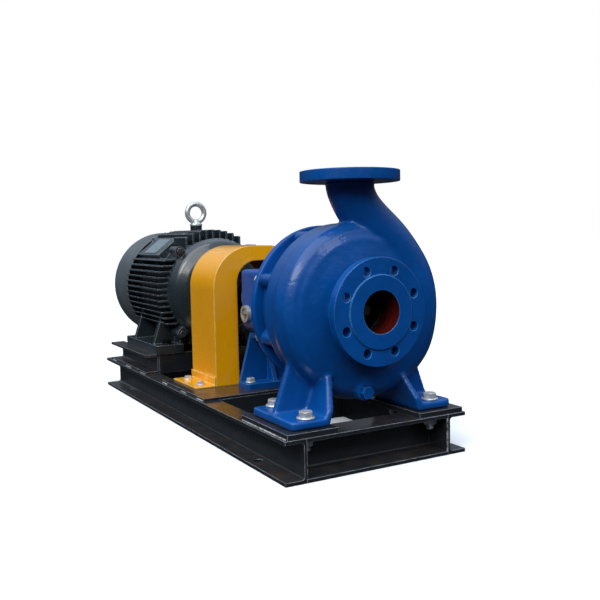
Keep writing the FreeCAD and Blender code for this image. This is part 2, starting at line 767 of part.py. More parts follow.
def casing_foot(side):
    """One foot: bolted plate, inner lengthwise wall leaning to the casing, and a mid cross web."""
    floor = -d.foot_height
    outer = side * d.foot_spread / 2
    inner = side * (d.foot_spread / 2 - d.foot_width)
    front = d.discharge_y - d.foot_length / 2
    back = d.discharge_y + d.foot_length / 2
    top = floor + d.foot_thickness
    plate = profile_along_z(
        [(outer, front, 14), (outer, back, 14), (inner, back, 4), (inner, front, 4)], floor, top
    )
    wall_top = floor + d.foot_rise
    lean = side * d.foot_lean
    wall = profile_along_y([
        (inner, floor + 1), (inner + side * d.foot_web, floor + 1),
        (inner + side * d.foot_web - lean, wall_top), (inner - lean, wall_top),
    ], front, back - 12)
    rake = profile_along_x([
        (front - 1, floor - 1), (front - 1, top + 6), (front + 42, wall_top + 1), (back, wall_top + 1),
        (back, floor - 1),
    ], -d.foot_spread, d.foot_spread)
    web = profile_along_y([
        (inner, floor + 1), (outer - side * 6, floor + 1), (outer - side * 6, top + 4),
        (outer - side * 40, wall_top + 22), (inner - lean, wall_top + 22),
    ], d.discharge_y - d.foot_web / 2, d.discharge_y + d.foot_web / 2)
    return [plate, wall.common(rake), web]


def casing_chamber():
    """The turned room inside the casing: suction bore, wear ring seat, impeller room and cover bore."""
    seat = d.eye_radius + 15
    relief = d.suction_bore + d.suction_relief
    return turned([
        (0, -1), (d.suction_bore, -1), (d.suction_bore, d.suction_depth),
        (relief, d.suction_depth + d.suction_relief), (relief, 62), (seat, 62), (seat, d.chamber_front),
        (d.chamber_radius, d.chamber_front), (d.chamber_radius, 184), (d.cover_bore, 184),
        (d.cover_bore, d.casing_end + 1), (0, d.casing_end + 1),
    ])


def make_casing():
    """The volute casing: one casting from suction flange to discharge flange, with both feet."""
    boss = rod(d.stud_boss, d.drum_end - 6, d.casing_end)
    boss.translate(FreeCAD.Vector(d.stud_circle, 0, 0))
    outside = [suction_flange()] + turned_copies(boss, d.stud_count, 22.5)
    outside += [drain_boss(), gauge_boss()] + casing_foot(-1) + casing_foot(1)
    neck_top = d.discharge_height - d.discharge_thickness + 2
    outside += horn(HORN_TURN, HORN_NECK, d.discharge_bore + 12, neck_top)
    outside.append(discharge_flange())
    solid = cast(outside)
    throat = d.discharge_height - 18
    tools = [casing_chamber()] + horn(PASSAGE_TURN, PASSAGE_NECK, d.discharge_bore - 0.5, throat + 0.5)
    tools.append(upright_rod(d.discharge_bore, 0, d.discharge_y, throat, d.discharge_height + 1))
    for tool in tools + casing_holes():
        solid = solid.cut(tool)
    shaped("volute_casing", solid, (0, suction_y, d.shaft_height))


def drain_boss():
    """A round boss low on the front of the drum for the drain plug."""
    boss = rod(2 * d.plug_radius + 1, d.drain_front, 100)
    boss.translate(FreeCAD.Vector(0, 0, -d.drain_drop))
    return boss


def gauge_boss():
    """A round boss on the side of the suction nozzle for the gauge plug."""
    root = FreeCAD.Vector(-40, d.gauge_y, 0)
    return Part.makeCylinder(d.plug_radius + 6, 40, root, FreeCAD.Vector(-1, 0, 0))


def casing_holes():
    """Bolt holes of both flanges, feet and studs, and the two plug holes."""
    tools = []
    for x, z in around(d.suction_holes, d.suction_circle, 22.5):
        hole = rod(d.flange_hole, -1, d.suction_thickness + 1)
        hole.translate(FreeCAD.Vector(x, 0, z))
        tools.append(hole)
    for x, y in around(d.discharge_holes, d.discharge_circle, 45):
        under = d.discharge_height - d.discharge_thickness
        tools.append(upright_rod(d.flange_hole, x, d.discharge_y + y, under - 1, d.discharge_height + 1))
    for side in (-1, 1):
        for end in (-1, 1):
            x = side * d.foot_bolts_x / 2
            y = d.discharge_y + end * d.foot_bolts_y / 2
            tools.append(upright_rod(d.foot_hole, x, y, -d.foot_height - 1, -d.foot_height + 30))
    hole = rod(d.stud_radius, d.casing_end - 30, d.casing_end + 1)
    hole.translate(FreeCAD.Vector(d.stud_circle, 0, 0))
    tools += turned_copies(hole, d.stud_count, 22.5)
    drain = rod(d.plug_radius, d.drain_front - 1, 84)
    drain.translate(FreeCAD.Vector(0, 0, -d.drain_drop))
    tools.append(drain)
    gauge = FreeCAD.Vector(-56, d.gauge_y, 0)
    tools.append(Part.makeCylinder(d.plug_radius, 26, gauge, FreeCAD.Vector(-1, 0, 0)))
    return tools


def make_plugs():
    """Hexagon plugs in the drain boss and the gauge boss."""
    towards = FreeCAD.Vector(0, -1, 0)
    thread = d.plug_radius - THREAD_GAP
    drain = merged([
        hexagon(22, 0, d.drain_front, -d.drain_drop, 9, towards),
        rod(thread, d.drain_front, 78).translated(FreeCAD.Vector(0, 0, -d.drain_drop)),
    ])
    outward = FreeCAD.Vector(-1, 0, 0)
    gauge = merged([
        hexagon(16, -80, d.gauge_y, 0, 8, outward),
        Part.makeCylinder(thread, 20, FreeCAD.Vector(-60, d.gauge_y, 0), outward),
    ])
    shaped("casing_plugs", Part.makeCompound([drain, gauge]), (0, suction_y, d.shaft_height))


def make_wear_ring():
    """The casing wear ring round the impeller eye."""
    wear = body("casing_wear_ring", (0, suction_y, d.shaft_height))
    inner = d.eye_radius + d.shroud + d.wear_gap
    spin(wear, [ring_loop(inner, d.eye_radius + 15 - d.run_gap, 63, d.chamber_front - 4)])


def make_cover():
    """The dished casing cover with the seal room in its middle."""
    face = d.casing_end
    solid = turned([
        (d.sleeve_radius + 1, 186), (d.sleeve_radius + 1, 196), (60, 196, 6), (60, 190, 4),
        (96, 178, 10), (122, 178, 4), (122, face), (d.cover_bore - d.fit_gap, face),
        (d.cover_bore - d.fit_gap, 185), (d.chamber_radius - d.fit_gap, 185),
        (d.chamber_radius - d.fit_gap, 124, 4), (34, 124, 2), (34, 186),
    ])
    shaped("casing_cover", solid, (0, suction_y, d.shaft_height))
    gasket = body("casing_gasket", (0, suction_y, d.shaft_height))
    spin(gasket, [ring_loop(d.chamber_radius + 1, d.cover_bore - 1, 184, 185)])


def make_studs():
    """Cover studs with their nuts and washers behind the adapter flange."""
    seat = d.casing_end + d.adapter_thickness
    group = []
    for x, z in around(d.stud_count, d.stud_circle, 22.5):
        stud = rod(d.stud_radius - THREAD_GAP, d.casing_end - 28, seat + 16)
        washer = rod(2.1 * d.stud_radius, seat, seat + 2.5)
        stud.translate(FreeCAD.Vector(x, 0, z))
        washer.translate(FreeCAD.Vector(x, 0, z))
        nut = hexagon(3 * d.stud_radius, x, seat + 2.5, z, 10, FreeCAD.Vector(0, 1, 0))
        group.append(merged([stud, washer, nut]))
    shaped("casing_studs", Part.makeCompound(group), (0, suction_y, d.shaft_height))


# Bearing bracket.

def housing_outline(margin):
    """Boxy housing section with rounded lower corners, drawn inward by margin."""
    half = d.housing_half - margin
    low = d.housing_bottom - margin
    high = d.housing_top - margin
    return [(-half, high, 10), (half, high, 10), (half, -low + 18, 20), (half - 22, -low, 20),
            (-half + 22, -low, 20), (-half, -low + 18, 20)]


def make_bracket():
    """Bearing bracket: adapter flange, open lantern and the box-shaped bearing housing."""
    flange_end = d.casing_end + d.adapter_thickness
    start = d.housing_start
    end = d.housing_end
    lantern = turned([
        (d.cover_bore - 16, d.casing_end), (d.adapter_radius, d.casing_end, 1),
        (d.adapter_radius, flange_end, 1), (130, flange_end, 6), (76, start - 2, 6), (72, start + 8),
        (50, start + 8), (50, start), (d.housing_half - 1, start), (d.housing_half - 1, start - 6),
        (118, flange_end - 8, 4),
    ])
    housing = profile_along_y(housing_outline(0), start, end)
    room = profile_along_y(housing_outline(d.housing_wall), start + 32, end - 32)
    solid = merged([lantern, housing])
    tools = [room, rod(d.bearing_radius + d.run_gap, start - 1, end + 1)]
    for side in (-1, 1):
        tools.append(block(side * 70 - 70, side * 70 + 70, flange_end + 3, start - 12, -46, 46))
    for x, z in around(d.stud_count, d.stud_circle, 22.5):
        hole = rod(d.stud_radius + 1, d.casing_end - 1, flange_end + 1)
        hole.translate(FreeCAD.Vector(x, 0, z))
        tools.append(hole)
    sight = d.housing_end - d.sight_back
    sight_root = FreeCAD.Vector(-40, sight, -d.sight_drop)
    tools.append(Part.makeCylinder(11, 30, sight_root, FreeCAD.Vector(-1, 0, 0)))
    tools.append(upright_rod(8, 0, sight, 40, d.housing_top + 1))
    tools.append(Part.makeCylinder(7, 20, FreeCAD.Vector(0, end - 40, -d.housing_bottom - 1)))
    for side in (-1, 1):
        x = side * 30
        tools.append(upright_rod(5, x, d.support_y, -d.housing_bottom - 1, -d.housing_bottom + 14))
    solid = solid.cut(tools).removeSplitter()
    shaped("bearing_bracket", solid, (0, suction_y, d.shaft_height))


def bearing_cover(seat, direction):
    """A round cover over one bearing, with a lip round the shaft and four bolt holes."""
    reach = direction * 10
    lip = direction * 5
    hole = d.stub_radius + 1.5 if direction > 0 else d.sleeve_radius + 2
    solid = turned([
        (hole, seat - lip), (d.bearing_radius - d.fit_gap, seat - lip), (d.bearing_radius - d.fit_gap, seat),
        (d.housing_half - 3, seat), (d.housing_half - 3, seat + reach, 2), (40, seat + reach, 2),
        (36, seat + 1.6 * reach, 2), (hole, seat + 1.6 * reach),
    ])
    holes = []
    for x, z in around(4, 56, 45):
        hole_tool = rod(4 + d.fit_gap, seat - 12, seat + 12)
        hole_tool.translate(FreeCAD.Vector(x, 0, z))
        holes.append(hole_tool)
    return solid.cut(holes)


def make_bearing_covers():
    """The covers at both ends of the bearing housing, and their bolts."""
    covers = [bearing_cover(d.housing_start, -1), bearing_cover(d.housing_end, 1)]
    shaped("bearing_covers", Part.makeCompound(covers), (0, suction_y, d.shaft_height))
    group = []
    for x, z in around(4, 56, 45):
        group.append(bolt_along(x, z, d.housing_end + 10, 9.5, 4, 1))
        group.append(bolt_along(x, z, d.housing_start - 10, 9.5, 4, -1))
    shaped("bearing_cover_bolts", Part.makeCompound(group), (0, suction_y, d.shaft_height))


def make_bearings(name, bore, outer, width, starts, y):
    """Two ball bearings: standing outer rings, and turning inner rings with their balls."""
    pitch = (bore + outer) / 2
    ball = (outer - bore) * 0.28
    standing = []
    turning = []
    for start in starts:
        end = start + width
        middle = FreeCAD.Vector(0, start + width / 2, 0)
        race = Part.makeTorus(pitch, ball * 1.04, middle, FreeCAD.Vector(0, 1, 0))
        standing.append(ring(pitch + ball * 0.6, outer, start, end).cut(race))
        turning.append(ring(bore, pitch - ball * 0.6, start, end).cut(race))
        for x, z in around(8, pitch):
            turning.append(Part.makeSphere(ball, FreeCAD.Vector(x, middle.y, z)))
    shaped(f"{name}_outer_rings", Part.makeCompound(standing), (0, y, d.shaft_height))
    shaped(f"{name}_inner_rings", Part.makeCompound(turning), (0, y, d.shaft_height))


def make_oil_fittings():
    """Sight glass in its rim, oil filler cap on the top and oil drain plug underneath."""
    outward = FreeCAD.Vector(-1, 0, 0)
    seat = -d.housing_half
    centre = d.housing_end - d.sight_back
    level = -d.sight_drop
    rim = Part.makeCylinder(d.sight_rim, 9, FreeCAD.Vector(seat, centre, level), outward)
    collar = Part.makeCylinder(11 - THREAD_GAP, 8, FreeCAD.Vector(seat + 8, centre, level), outward)
    opening = Part.makeCylinder(13, 8, FreeCAD.Vector(seat - 3, centre, level), outward)
    shaped("sight_glass_rim", merged([rim, collar]).cut(opening), (0, suction_y, d.shaft_height))
    pane = Part.makeCylinder(13 - d.fit_gap, 3, FreeCAD.Vector(seat - 3, centre, level), outward)
    shaped("sight_glass_pane", pane, (0, suction_y, d.shaft_height))
    top = d.housing_top
    neck = 8 - THREAD_GAP
    cap = turned_up([(0, top - 8), (neck, top - 8), (neck, top), (15, top, 1), (15, top + 12, 2),
                     (9, top + 12, 2),
                     (9, top + 20, 3), (0, top + 20)], 0, centre)
    low = -d.housing_bottom
    plug = merged([
        hexagon(19, 0, d.housing_end - 40, low, 8, FreeCAD.Vector(0, 0, -1)),
        upright_rod(7 - THREAD_GAP, 0, d.housing_end - 40, low, low + 7),
    ])
    shaped("oil_plugs", Part.makeCompound([cap, plug]), (0, suction_y, d.shaft_height))


def make_support_foot():
    """Support foot: flared upright plate, top pad under the housing and a bolted base flange."""
    floor = d.rail_height + d.plate_thickness - d.shaft_height
    top = -d.housing_bottom
    back = d.support_y + 22
    front = d.support_y - 25
    half = d.support_width / 2
    plate = profile_along_y([
        (-half, floor), (half, floor), (half, floor + 12, 4), (44, top), (-44, top), (-half, floor + 12, 4),
    ], back - d.support_plate, back)
    flange = profile_along_z(
        [(-half, front, 8), (half, front, 8), (half, back), (-half, back)], floor, floor + 12
    )
    pad_top = block(-44, 44, front + 8, back, top - 12, top)
    rib = profile_along_x([
        (back - 1, floor + 11), (front + 6, floor + 11), (back - 20, -150), (front + 12, top - 1),
        (back - 1, top - 1),
    ], -5, 5)
    solid = merged([plate, flange, pad_top, rib])
    tools = []
    for side in (-1, 1):
        x = side * d.support_bolts / 2
        tools.append(upright_rod(d.support_hole, x, d.support_y, floor - 1, floor + 13))
        tools.append(upright_rod(5, side * 30, d.support_y, top - 13, top + 1))
    tools.append(upright_rod(13, 0, d.housing_end - 40, top - 13, top + 1))
    shaped("support_foot", solid.cut(tools), (0, suction_y, d.shaft_height))
    bolts = []
    for side in (-1, 1):
        x = side * d.support_bolts / 2
        under = d.rail_height - d.shaft_height
        bolts.append(bolt_down(x, d.support_y, floor + 12, under, 6))
        screw = merged([
            hexagon(16, side * 30, d.support_y, top - 12, 6, FreeCAD.Vector(0, 0, -1)),
            upright_rod(5 - THREAD_GAP, side * 30, d.support_y, top - 12, top + 12),
        ])
        bolts.append(screw)
    shaped("support_foot_bolts", Part.makeCompound(bolts), (0, suction_y, d.shaft_height))


def make_pump_foot_bolts():
    """Four bolts with nuts through the pump feet and their pads."""
    group = []
    top = pump_feet_z + d.foot_thickness
    for side in (-1, 1):
        for end in (-1, 1):
            x = side * d.foot_bolts_x / 2
            y = suction_y + d.discharge_y + end * d.foot_bolts_y / 2
            under = d.rail_height - (d.rail_lip if end < 0 else 0)
            group.append(bolt_down(x, y, top, under, 8))
    shaped("pump_foot_bolts", Part.makeCompound(group))


# Pump rotor.

def make_pump_shaft():
    """The stepped pump shaft from the impeller nut thread to the coupling end."""
    shaft = body("pump_shaft", (0, suction_y, d.shaft_height))
    seat_front = d.housing_start + 8
    seat_rear = d.housing_end - 5 - d.bearing_width
    bearing = d.bearing_bore - d.run_gap
    waist_start = seat_front + d.bearing_width
    stub = d.shaft_end - d.stub_length
    spin(shaft, [[
        (0, 52), (d.nose_radius - 4, 52), (d.nose_radius - 4, 78), (d.nose_radius, 78),
        (d.nose_radius, 128), (d.sleeve_seat, 128), (d.sleeve_seat, 250), (bearing, 250),
        (bearing, waist_start), (d.shaft_waist, waist_start), (d.shaft_waist, seat_rear),
        (bearing, seat_rear), (bearing, d.housing_end - 5), (d.stub_radius, d.housing_end - 5),
        (d.stub_radius, stub), (d.stub_radius, d.shaft_end), (0, d.shaft_end),
    ]])
    key = box_loop(-5, d.shaft_end - 60, 5, d.shaft_end - 12)
    pocket(shaft, "XY_Plane", [key], 5, lift=d.stub_radius)
    nose_key = box_loop(-4, 86, 4, 118)
    pocket(shaft, "XY_Plane", [nose_key], 4, lift=d.nose_radius)


def vane_blank():
    """One backward-swept vane as a prism along Y, wider than the passage."""
    inner = d.eye_radius - 3
    outer = d.impeller_radius + 2
    sweep = 1.25
    sides = []
    for offset in (-d.vane_thickness / 2, d.vane_thickness / 2):
        points = []
        for step in range(7):
            radius = inner + (outer - inner) * step / 6
            angle = -sweep * math.log(radius / inner) + offset * 1.6 / radius
            points.append(FreeCAD.Vector(radius * math.cos(angle), 70, radius * math.sin(angle)))
        sides.append(points)
    left, right = sides
    curves = []
    for points in (left, right):
        curve = Part.BSplineCurve()
        curve.interpolate(points)
        curves.append(curve.toShape())
    ends = [Part.LineSegment(left[0], right[0]).toShape(), Part.LineSegment(left[-1], right[-1]).toShape()]
    wire = Part.Wire(Part.__sortEdges__([curves[0], ends[1], curves[1], ends[0]]))
    return upright(Part.Face(wire).extrude(FreeCAD.Vector(0, 50, 0)))


def make_impeller():
    """Closed impeller: eye neck, front and back shrouds, hub and backward-swept vanes."""
    middle = d.discharge_y
    half = d.impeller_width / 2
    rim = d.impeller_radius
    eye = d.eye_radius
    front = turned([
        (eye, 64), (eye + d.shroud, 64), (eye + d.shroud, 80, 8), (rim, middle - half - d.shroud),
        (rim, middle - half), (eye + 12, 92, 14), (eye, 80, 8),
    ])
    back = turned([
        (d.nose_radius + d.run_gap, 78), (22, 78, 4), (30, 96, 14), (52, middle + half - 2, 10),
        (rim, middle + half), (rim, middle + half + d.shroud), (32, middle + half + d.shroud + 1, 3),
        (32, 123), (20, 123), (20, 127.8), (d.nose_radius + d.run_gap, 127.8),
    ])
    passage = turned([
        (eye - 4, 76), (eye + 1, 78), (eye + 10, 90), (rim, middle - half - 1), (rim, middle + half + 1),
        (54, middle + half), (33, 100),
    ])
    vane = vane_blank().common(passage)
    solid = merged([front, back] + turned_copies(vane, d.vane_count))
    key = block(-4, 4, 84, 124, d.nose_radius - 1, d.nose_radius + 4)
    shaped("impeller", solid.cut(key), (0, suction_y, d.shaft_height))


def make_rotor_fittings():
    """Impeller nut, shaft sleeve, seal faces, water deflector and keys."""
    at = (0, suction_y, d.shaft_height)
    nut = merged([
        hexagon(34, 0, 78, 0, 14, FreeCAD.Vector(0, -1, 0)),
        turned([(0, 48, 0), (9, 48, 4), (15, 58, 4), (15, 64), (0, 64)]),
    ]).cut(rod(d.nose_radius - 4 + THREAD_GAP, 52, 79))
    shaped("impeller_nut", nut, at)
    sleeve = body("shaft_sleeve", at)
    spin(sleeve, [ring_loop(d.sleeve_seat + d.run_gap, d.sleeve_radius, 128.3, 226)])
    seat = body("seal_seat", at)
    spin(seat, [ring_loop(d.sleeve_radius + 1, 33.7, 176, 185.7)])
    head = body("seal_head", at)
    spin(head, [[(d.sleeve_radius + d.run_gap, 140), (29, 140), (31, 146), (31, 168), (29, 170),
                 (29, 175.7), (d.sleeve_radius + d.run_gap, 175.7)]])
    deflector = body("water_deflector", at)
    spin(deflector, [[(d.bearing_bore - d.run_gap + 0.1, 262), (26, 262), (40, 258), (40, 261), (30, 266),
                      (30, 272), (d.bearing_bore - d.run_gap + 0.1, 272)]])
    key_foot = d.stub_radius - 4.9
    coupling_key = block(-4.9, 4.9, d.shaft_end - 59, d.shaft_end - 13, key_foot, d.stub_radius + 3)
    impeller_key = block(-3.9, 3.9, 87, 117, d.nose_radius - 3.9, d.nose_radius + 3)
    shaped("pump_keys", Part.makeCompound([coupling_key, impeller_key]), at)


def jaw(start, end, angle, inner, outer):
    """A sector-shaped block about the shaft, centred on the X axis."""
    sector = ring(inner, outer, start, end)
    half = math.radians(angle / 2)
    reach = 2 * outer
    wedge = Part.Face(Part.makePolygon([
        FreeCAD.Vector(0, start, 0),
        FreeCAD.Vector(reach * math.cos(half), start, -reach * math.sin(half)),
        FreeCAD.Vector(reach * math.cos(half), start, reach * math.sin(half)),
        FreeCAD.Vector(0, start, 0),
    ])).extrude(FreeCAD.Vector(0, end - start, 0))
    return sector.common(wedge)


def make_coupling():
    """Jaw coupling: two hubs with three jaws each and a six-armed elastic spider between them."""
    at = (0, suction_y, d.shaft_height)
    gap_middle = d.shaft_end + d.coupling_gap / 2
    near = gap_middle - d.jaw_length / 2
    far = gap_middle + d.jaw_length / 2
    pump_bore = d.stub_radius + d.run_gap
    motor_bore = d.motor_shaft + d.run_gap
    pump_hub = turned([(pump_bore, near - 56), (d.hub_waist, near - 56, 2), (d.hub_waist, near - 18, 6),
                       (d.hub_radius, near - 18, 2), (d.hub_radius, near), (pump_bore, near)])
    motor_hub = turned([(motor_bore, far + 62), (d.hub_waist, far + 62, 2), (d.hub_waist, far + 18, 6),
                        (d.hub_radius, far + 18, 2), (d.hub_radius, far), (motor_bore, far)])
    lug = jaw(near - 2, far - d.fit_gap, d.jaw_angle, d.jaw_inner, d.hub_radius)
    pump_half = merged([pump_hub] + turned_copies(lug, 3))
    pump_half = pump_half.cut(block(-5, 5, near - 57, near + 1, 8, d.stub_radius + 3.2))
    shaped("pump_coupling_half", pump_half, at)
    lug = jaw(near + d.fit_gap, far + 2, d.jaw_angle, d.jaw_inner, d.hub_radius)
    motor_half = merged([motor_hub] + turned_copies(lug, 3, 60))
    motor_half = motor_half.cut(block(-6, 6, far - 1, far + 63, 12, d.motor_shaft + 3.5))
    shaped("motor_coupling_half", motor_half, at)
    arm_angle = 60 - d.jaw_angle - 2 * d.jaw_clearance
    arm = jaw(near + 1, far - 1, arm_angle, d.jaw_inner - 2, d.hub_radius - 1)
    core = ring(d.motor_shaft + 2, d.jaw_inner - 0.5, near + 1, far - 1)
    shaped("coupling_spider", merged([core] + turned_copies(arm, 6, 30)), at)


# Coupling guard.

def make_guard():
    """Bent sheet guard: rounded hood with an end plate at each end, open underneath."""
    floor = d.rail_height + d.plate_thickness - d.shaft_height
    end = d.guard_start + d.guard_length
    outer_corners = [(-d.guard_half, floor), (d.guard_half, floor),
                     (d.guard_half, d.guard_top, d.guard_corner), (-d.guard_half, d.guard_top, d.guard_corner)]
    inner_half = d.guard_half - d.guard_sheet
    inner_top = d.guard_top - d.guard_sheet
    inner_corner = d.guard_corner - d.guard_sheet
    inner_corners = [(-inner_half, floor - 1), (inner_half, floor - 1), (inner_half, inner_top, inner_corner),
                     (-inner_half, inner_top, inner_corner)]
    half = d.guard_half - d.guard_band
    lintel = d.guard_top - d.guard_lintel
    opening_corners = [(-half, floor - 1), (half, floor - 1), (half, lintel, d.guard_opening_corner),
                       (-half, lintel, d.guard_opening_corner)]
    solid = profile_along_y(outer_corners, d.guard_start, end)
    inside = profile_along_y(inner_corners, d.guard_start + d.guard_sheet, end - d.guard_sheet)
    opening = profile_along_y(opening_corners, d.guard_start - 1, end + 1)
    shaped("coupling_guard", solid.cut([inside, opening]), (0, suction_y, d.shaft_height))


def make_guard_foot(label, side):
    """An angle welded to the guard's side, with two bolt holes."""
    foot = body(label, (0, suction_y, d.rail_height + d.plate_thickness))
    start = d.guard_half
    section = [(start, 0), (start + d.guard_foot, 0), (start + d.guard_foot, d.guard_foot_sheet),
               (start + d.guard_foot_sheet, d.guard_foot_sheet),
               (start + d.guard_foot_sheet, d.guard_foot_leg), (start, d.guard_foot_leg)]
    section = [(side * u, v) for u, v in section]
    pad(foot, "XZ_Plane", [section], d.guard_length, lift=-d.guard_start, reverse=True)
    holes = [Round(x, y, d.guard_hole) for x, y in guard_bolt_places() if x * side > 0]
    pocket(foot, "XY_Plane", holes, d.guard_foot_sheet, reverse=True)
    return foot


def make_guard_bolts():
    """Bolts that hold the guard feet to the bracket plate."""
    top = d.rail_height + d.plate_thickness + d.guard_foot_sheet
    group = [bolt_down(x, suction_y + y, top, d.rail_height, 5) for x, y in guard_bolt_places()]
    shaped("guard_bolts", Part.makeCompound(group))


# Motor.

def fin_rows():
    """Fins of the motor frame: level ones on both sides, upright ones on the top."""
    start = d.frame_start
    half = d.fin_thickness / 2
    fins = []
    reach = d.fin_radius
    front = start + 14
    back = d.cowl_start - 2
    for index in range(int(d.side_fin_count)):
        z = (index - (d.side_fin_count - 1) / 2) * d.side_fin_pitch
        fins.append(block(-reach, reach, front, back, z - half, z + half))
    for index in range(int(d.top_fin_count)):
        x = (index - (d.top_fin_count - 1) / 2) * d.top_fin_pitch
        fins.append(block(x - half, x + half, front, back, 0, reach))
        fins.append(block(x - half, x + half, front, back, -reach * 0.9, 0))
    return fins


def motor_foot(side):
    """One motor foot: the bolted sole and the two webs that join it to the barrel."""
    outer = side * d.motor_foot_outside / 2
    inner = side * (d.motor_foot_outside / 2 - d.motor_foot_width)
    first = d.motor_first_hole - d.motor_foot_margin
    last = d.motor_first_hole + d.motor_foot_y + d.motor_foot_margin
    low = -d.motor_height
    sole = profile_along_z([(outer, first, 5), (outer, last, 5), (inner, last), (inner, first)],
                           low, low + d.motor_foot_thickness)
    webs = []
    for hole in (d.motor_first_hole, d.motor_first_hole + d.motor_foot_y):
        inward = 1 if hole == d.motor_first_hole else -1
        at = hole + inward * 26
        corners = [(inner, low + 1), (outer - side * 10, low + 1), (outer - side * 10, low + 26),
                   (side * 128, -50), (side * 60, -50), (side * 60, -120)]
        webs.append(profile_along_y(corners, at - 7, at + 7))
    corners = [(inner, low + 1), (inner + side * 12, low + 1), (side * 92, -90), (side * 78, -90)]
    wall = profile_along_y(corners, first + 4, last - 4)
    return [sole, wall] + webs


def bolt_ears(start, end, inside):
    """Four bolt ears round the end of the motor, each a boss with a neck to the ring inside it."""
    boss = rod(d.ear_radius, start, end)
    boss.translate(FreeCAD.Vector(d.ear_circle, 0, 0))
    neck = block(inside, d.ear_circle, start, end, 1 - d.ear_radius, d.ear_radius - 1)
    return turned_copies(merged([boss, neck]), 4, 45)


def make_motor_frame():
    """Finned cast frame with feet, nameplate flat, terminal box seat and eye bolt boss."""
    start = d.frame_start
    end = start + d.frame_length
    envelope = rod(d.fin_radius, start, end)
    barrel = rod(d.frame_radius, start, end)
    collar = turned([(100, start), (d.shield_radius - 2, start, 2), (d.shield_radius - 2, start + 14, 2),
                     (100, start + 14)])
    flats = []
    clear = []
    for angle, seat, half in ((d.plate_angle, d.plate_seat, 36), (d.pad_angle, d.pad_seat, 24)):
        for bottom, top, group in ((seat - 40, seat, flats), (seat, seat + 30, clear)):
            slab = block(bottom, top, start + 104, end - 18, -half, half)
            slab.rotate(FreeCAD.Vector(0, 0, 0), FreeCAD.Vector(0, -1, 0), angle)
            group.append(slab)
    fins = [fin.common(envelope).cut(clear) for fin in fin_rows()]
    middle = (start + end) / 2
    eye_y = middle - d.eye_back
    boss = upright_rod(2 * d.eye_thread, 0, eye_y, 100, d.fin_radius + 12)
    ears = bolt_ears(start, start + 34, d.frame_radius - 5)
    box_seat = block(100, d.terminal_seat, middle - 95, middle + 45, -20, 100)
    solid = merged([barrel, collar, boss, box_seat] + ears + fins + flats + motor_foot(-1) + motor_foot(1))
    tapped = rod(5, start - 1, start + 14)
    tapped.translate(FreeCAD.Vector(d.ear_circle, 0, 0))
    tools = [rod(d.frame_bore, start - 1, end + 1)] + turned_copies(tapped, 4, 45)
    for side in (-1, 1):
        for y in (d.motor_first_hole, d.motor_first_hole + d.motor_foot_y):
            x = side * d.motor_foot_x / 2
            tools.append(upright_rod(d.motor_foot_hole, x, y, -d.motor_height - 1, -d.motor_height + 60))
    tools.append(upright_rod(d.eye_thread, 0, eye_y, d.frame_radius + 8, d.fin_radius + 13))
    wires = FreeCAD.Vector(d.terminal_seat - 55, middle - 25, 40)
    tools.append(Part.makeCylinder(16, 60, wires, FreeCAD.Vector(1, 0, 0)))
    shaped("motor_frame", solid.cut(tools).removeSplitter(), (0, motor_y, d.shaft_height))


def make_drive_shield():
    """Drive-end shield: rounded bell from the frame joint down to the bearing hub."""
    joint = d.frame_start
    seat = d.motor_bearing_radius + d.run_gap
    solid = turned([
        (d.motor_shaft + 2.5, 4), (58, 4, 6), (66, 12, 10), (102, 17, 26), (129, 33, 18),
        (d.shield_radius, joint - 8, 3), (d.shield_radius, joint), (d.frame_bore - d.fit_gap, joint),
        (d.frame_bore - d.fit_gap, joint + 8), (117, joint + 8), (117, 46, 14), (72, 26, 10),
        (64, 42), (seat, 42), (seat, 14), (d.motor_shaft + 2.5, 14),
    ])
    hole = rod(5.5, joint - 13, joint + 1)
    hole.translate(FreeCAD.Vector(d.ear_circle, 0, 0))
    solid = merged([solid] + bolt_ears(joint - 12, joint, d.shield_radius - 5))
    shaped("drive_end_shield", solid.cut(turned_copies(hole, 4, 45)), (0, motor_y, d.shaft_height))


def make_rear_shield():
    """Rear shield: a flat bell that carries the rear bearing under the cowl."""
    joint = d.frame_start + d.frame_length
    seat = d.motor_bearing_radius + d.run_gap
    at = d.rear_bearing_at
    rim = d.cowl_radius - d.cowl_sheet - d.fit_gap
    solid = turned([
        (seat, at - 2), (64, at - 2), (74, joint + 4, 6), (116, joint - 8, 4),
        (d.frame_bore - d.fit_gap, joint - 8), (d.frame_bore - d.fit_gap, joint), (rim, joint), (rim, joint + 10, 2),
        (110, joint + 12, 8), (66, at + 34, 6), (d.motor_bearing_bore + 1, at + 34),
        (d.motor_bearing_bore + 1, at + 26), (seat, at + 26),
    ])
    shaped("rear_shield", solid, (0, motor_y, d.shaft_height))


def make_fan_cowl():
    """Pressed fan cowl with a rounded rear edge and arc slots for the cooling air."""
    start = d.cowl_start
    end = d.cowl_end
    outer = d.cowl_radius
    inner = outer - d.cowl_sheet
    solid = turned([
        (outer, start), (outer, end, 22), (0, end), (0, end - d.cowl_sheet), (inner, end - d.cowl_sheet, 20),
        (inner, start),
    ])
    slots = []
    for middle in (40, 62, 84, 106):
        slot = jaw(end - 10, end + 5, 38, middle - 6, middle + 6)
        slots += turned_copies(slot, 8, 22.5 * (middle in (62, 106)))
    shaped("fan_cowl", solid.cut(slots), (0, motor_y, d.shaft_height))


def make_shield_bolts():
    """Hexagon bolts of the drive-end shield."""
    shank = 5 - THREAD_GAP
    group = [bolt_along(x, z, d.frame_start - 12, 24, shank, -1) for x, z in around(4, d.ear_circle, 45)]
    shaped("shield_bolts", Part.makeCompound(group), (0, motor_y, d.shaft_height))


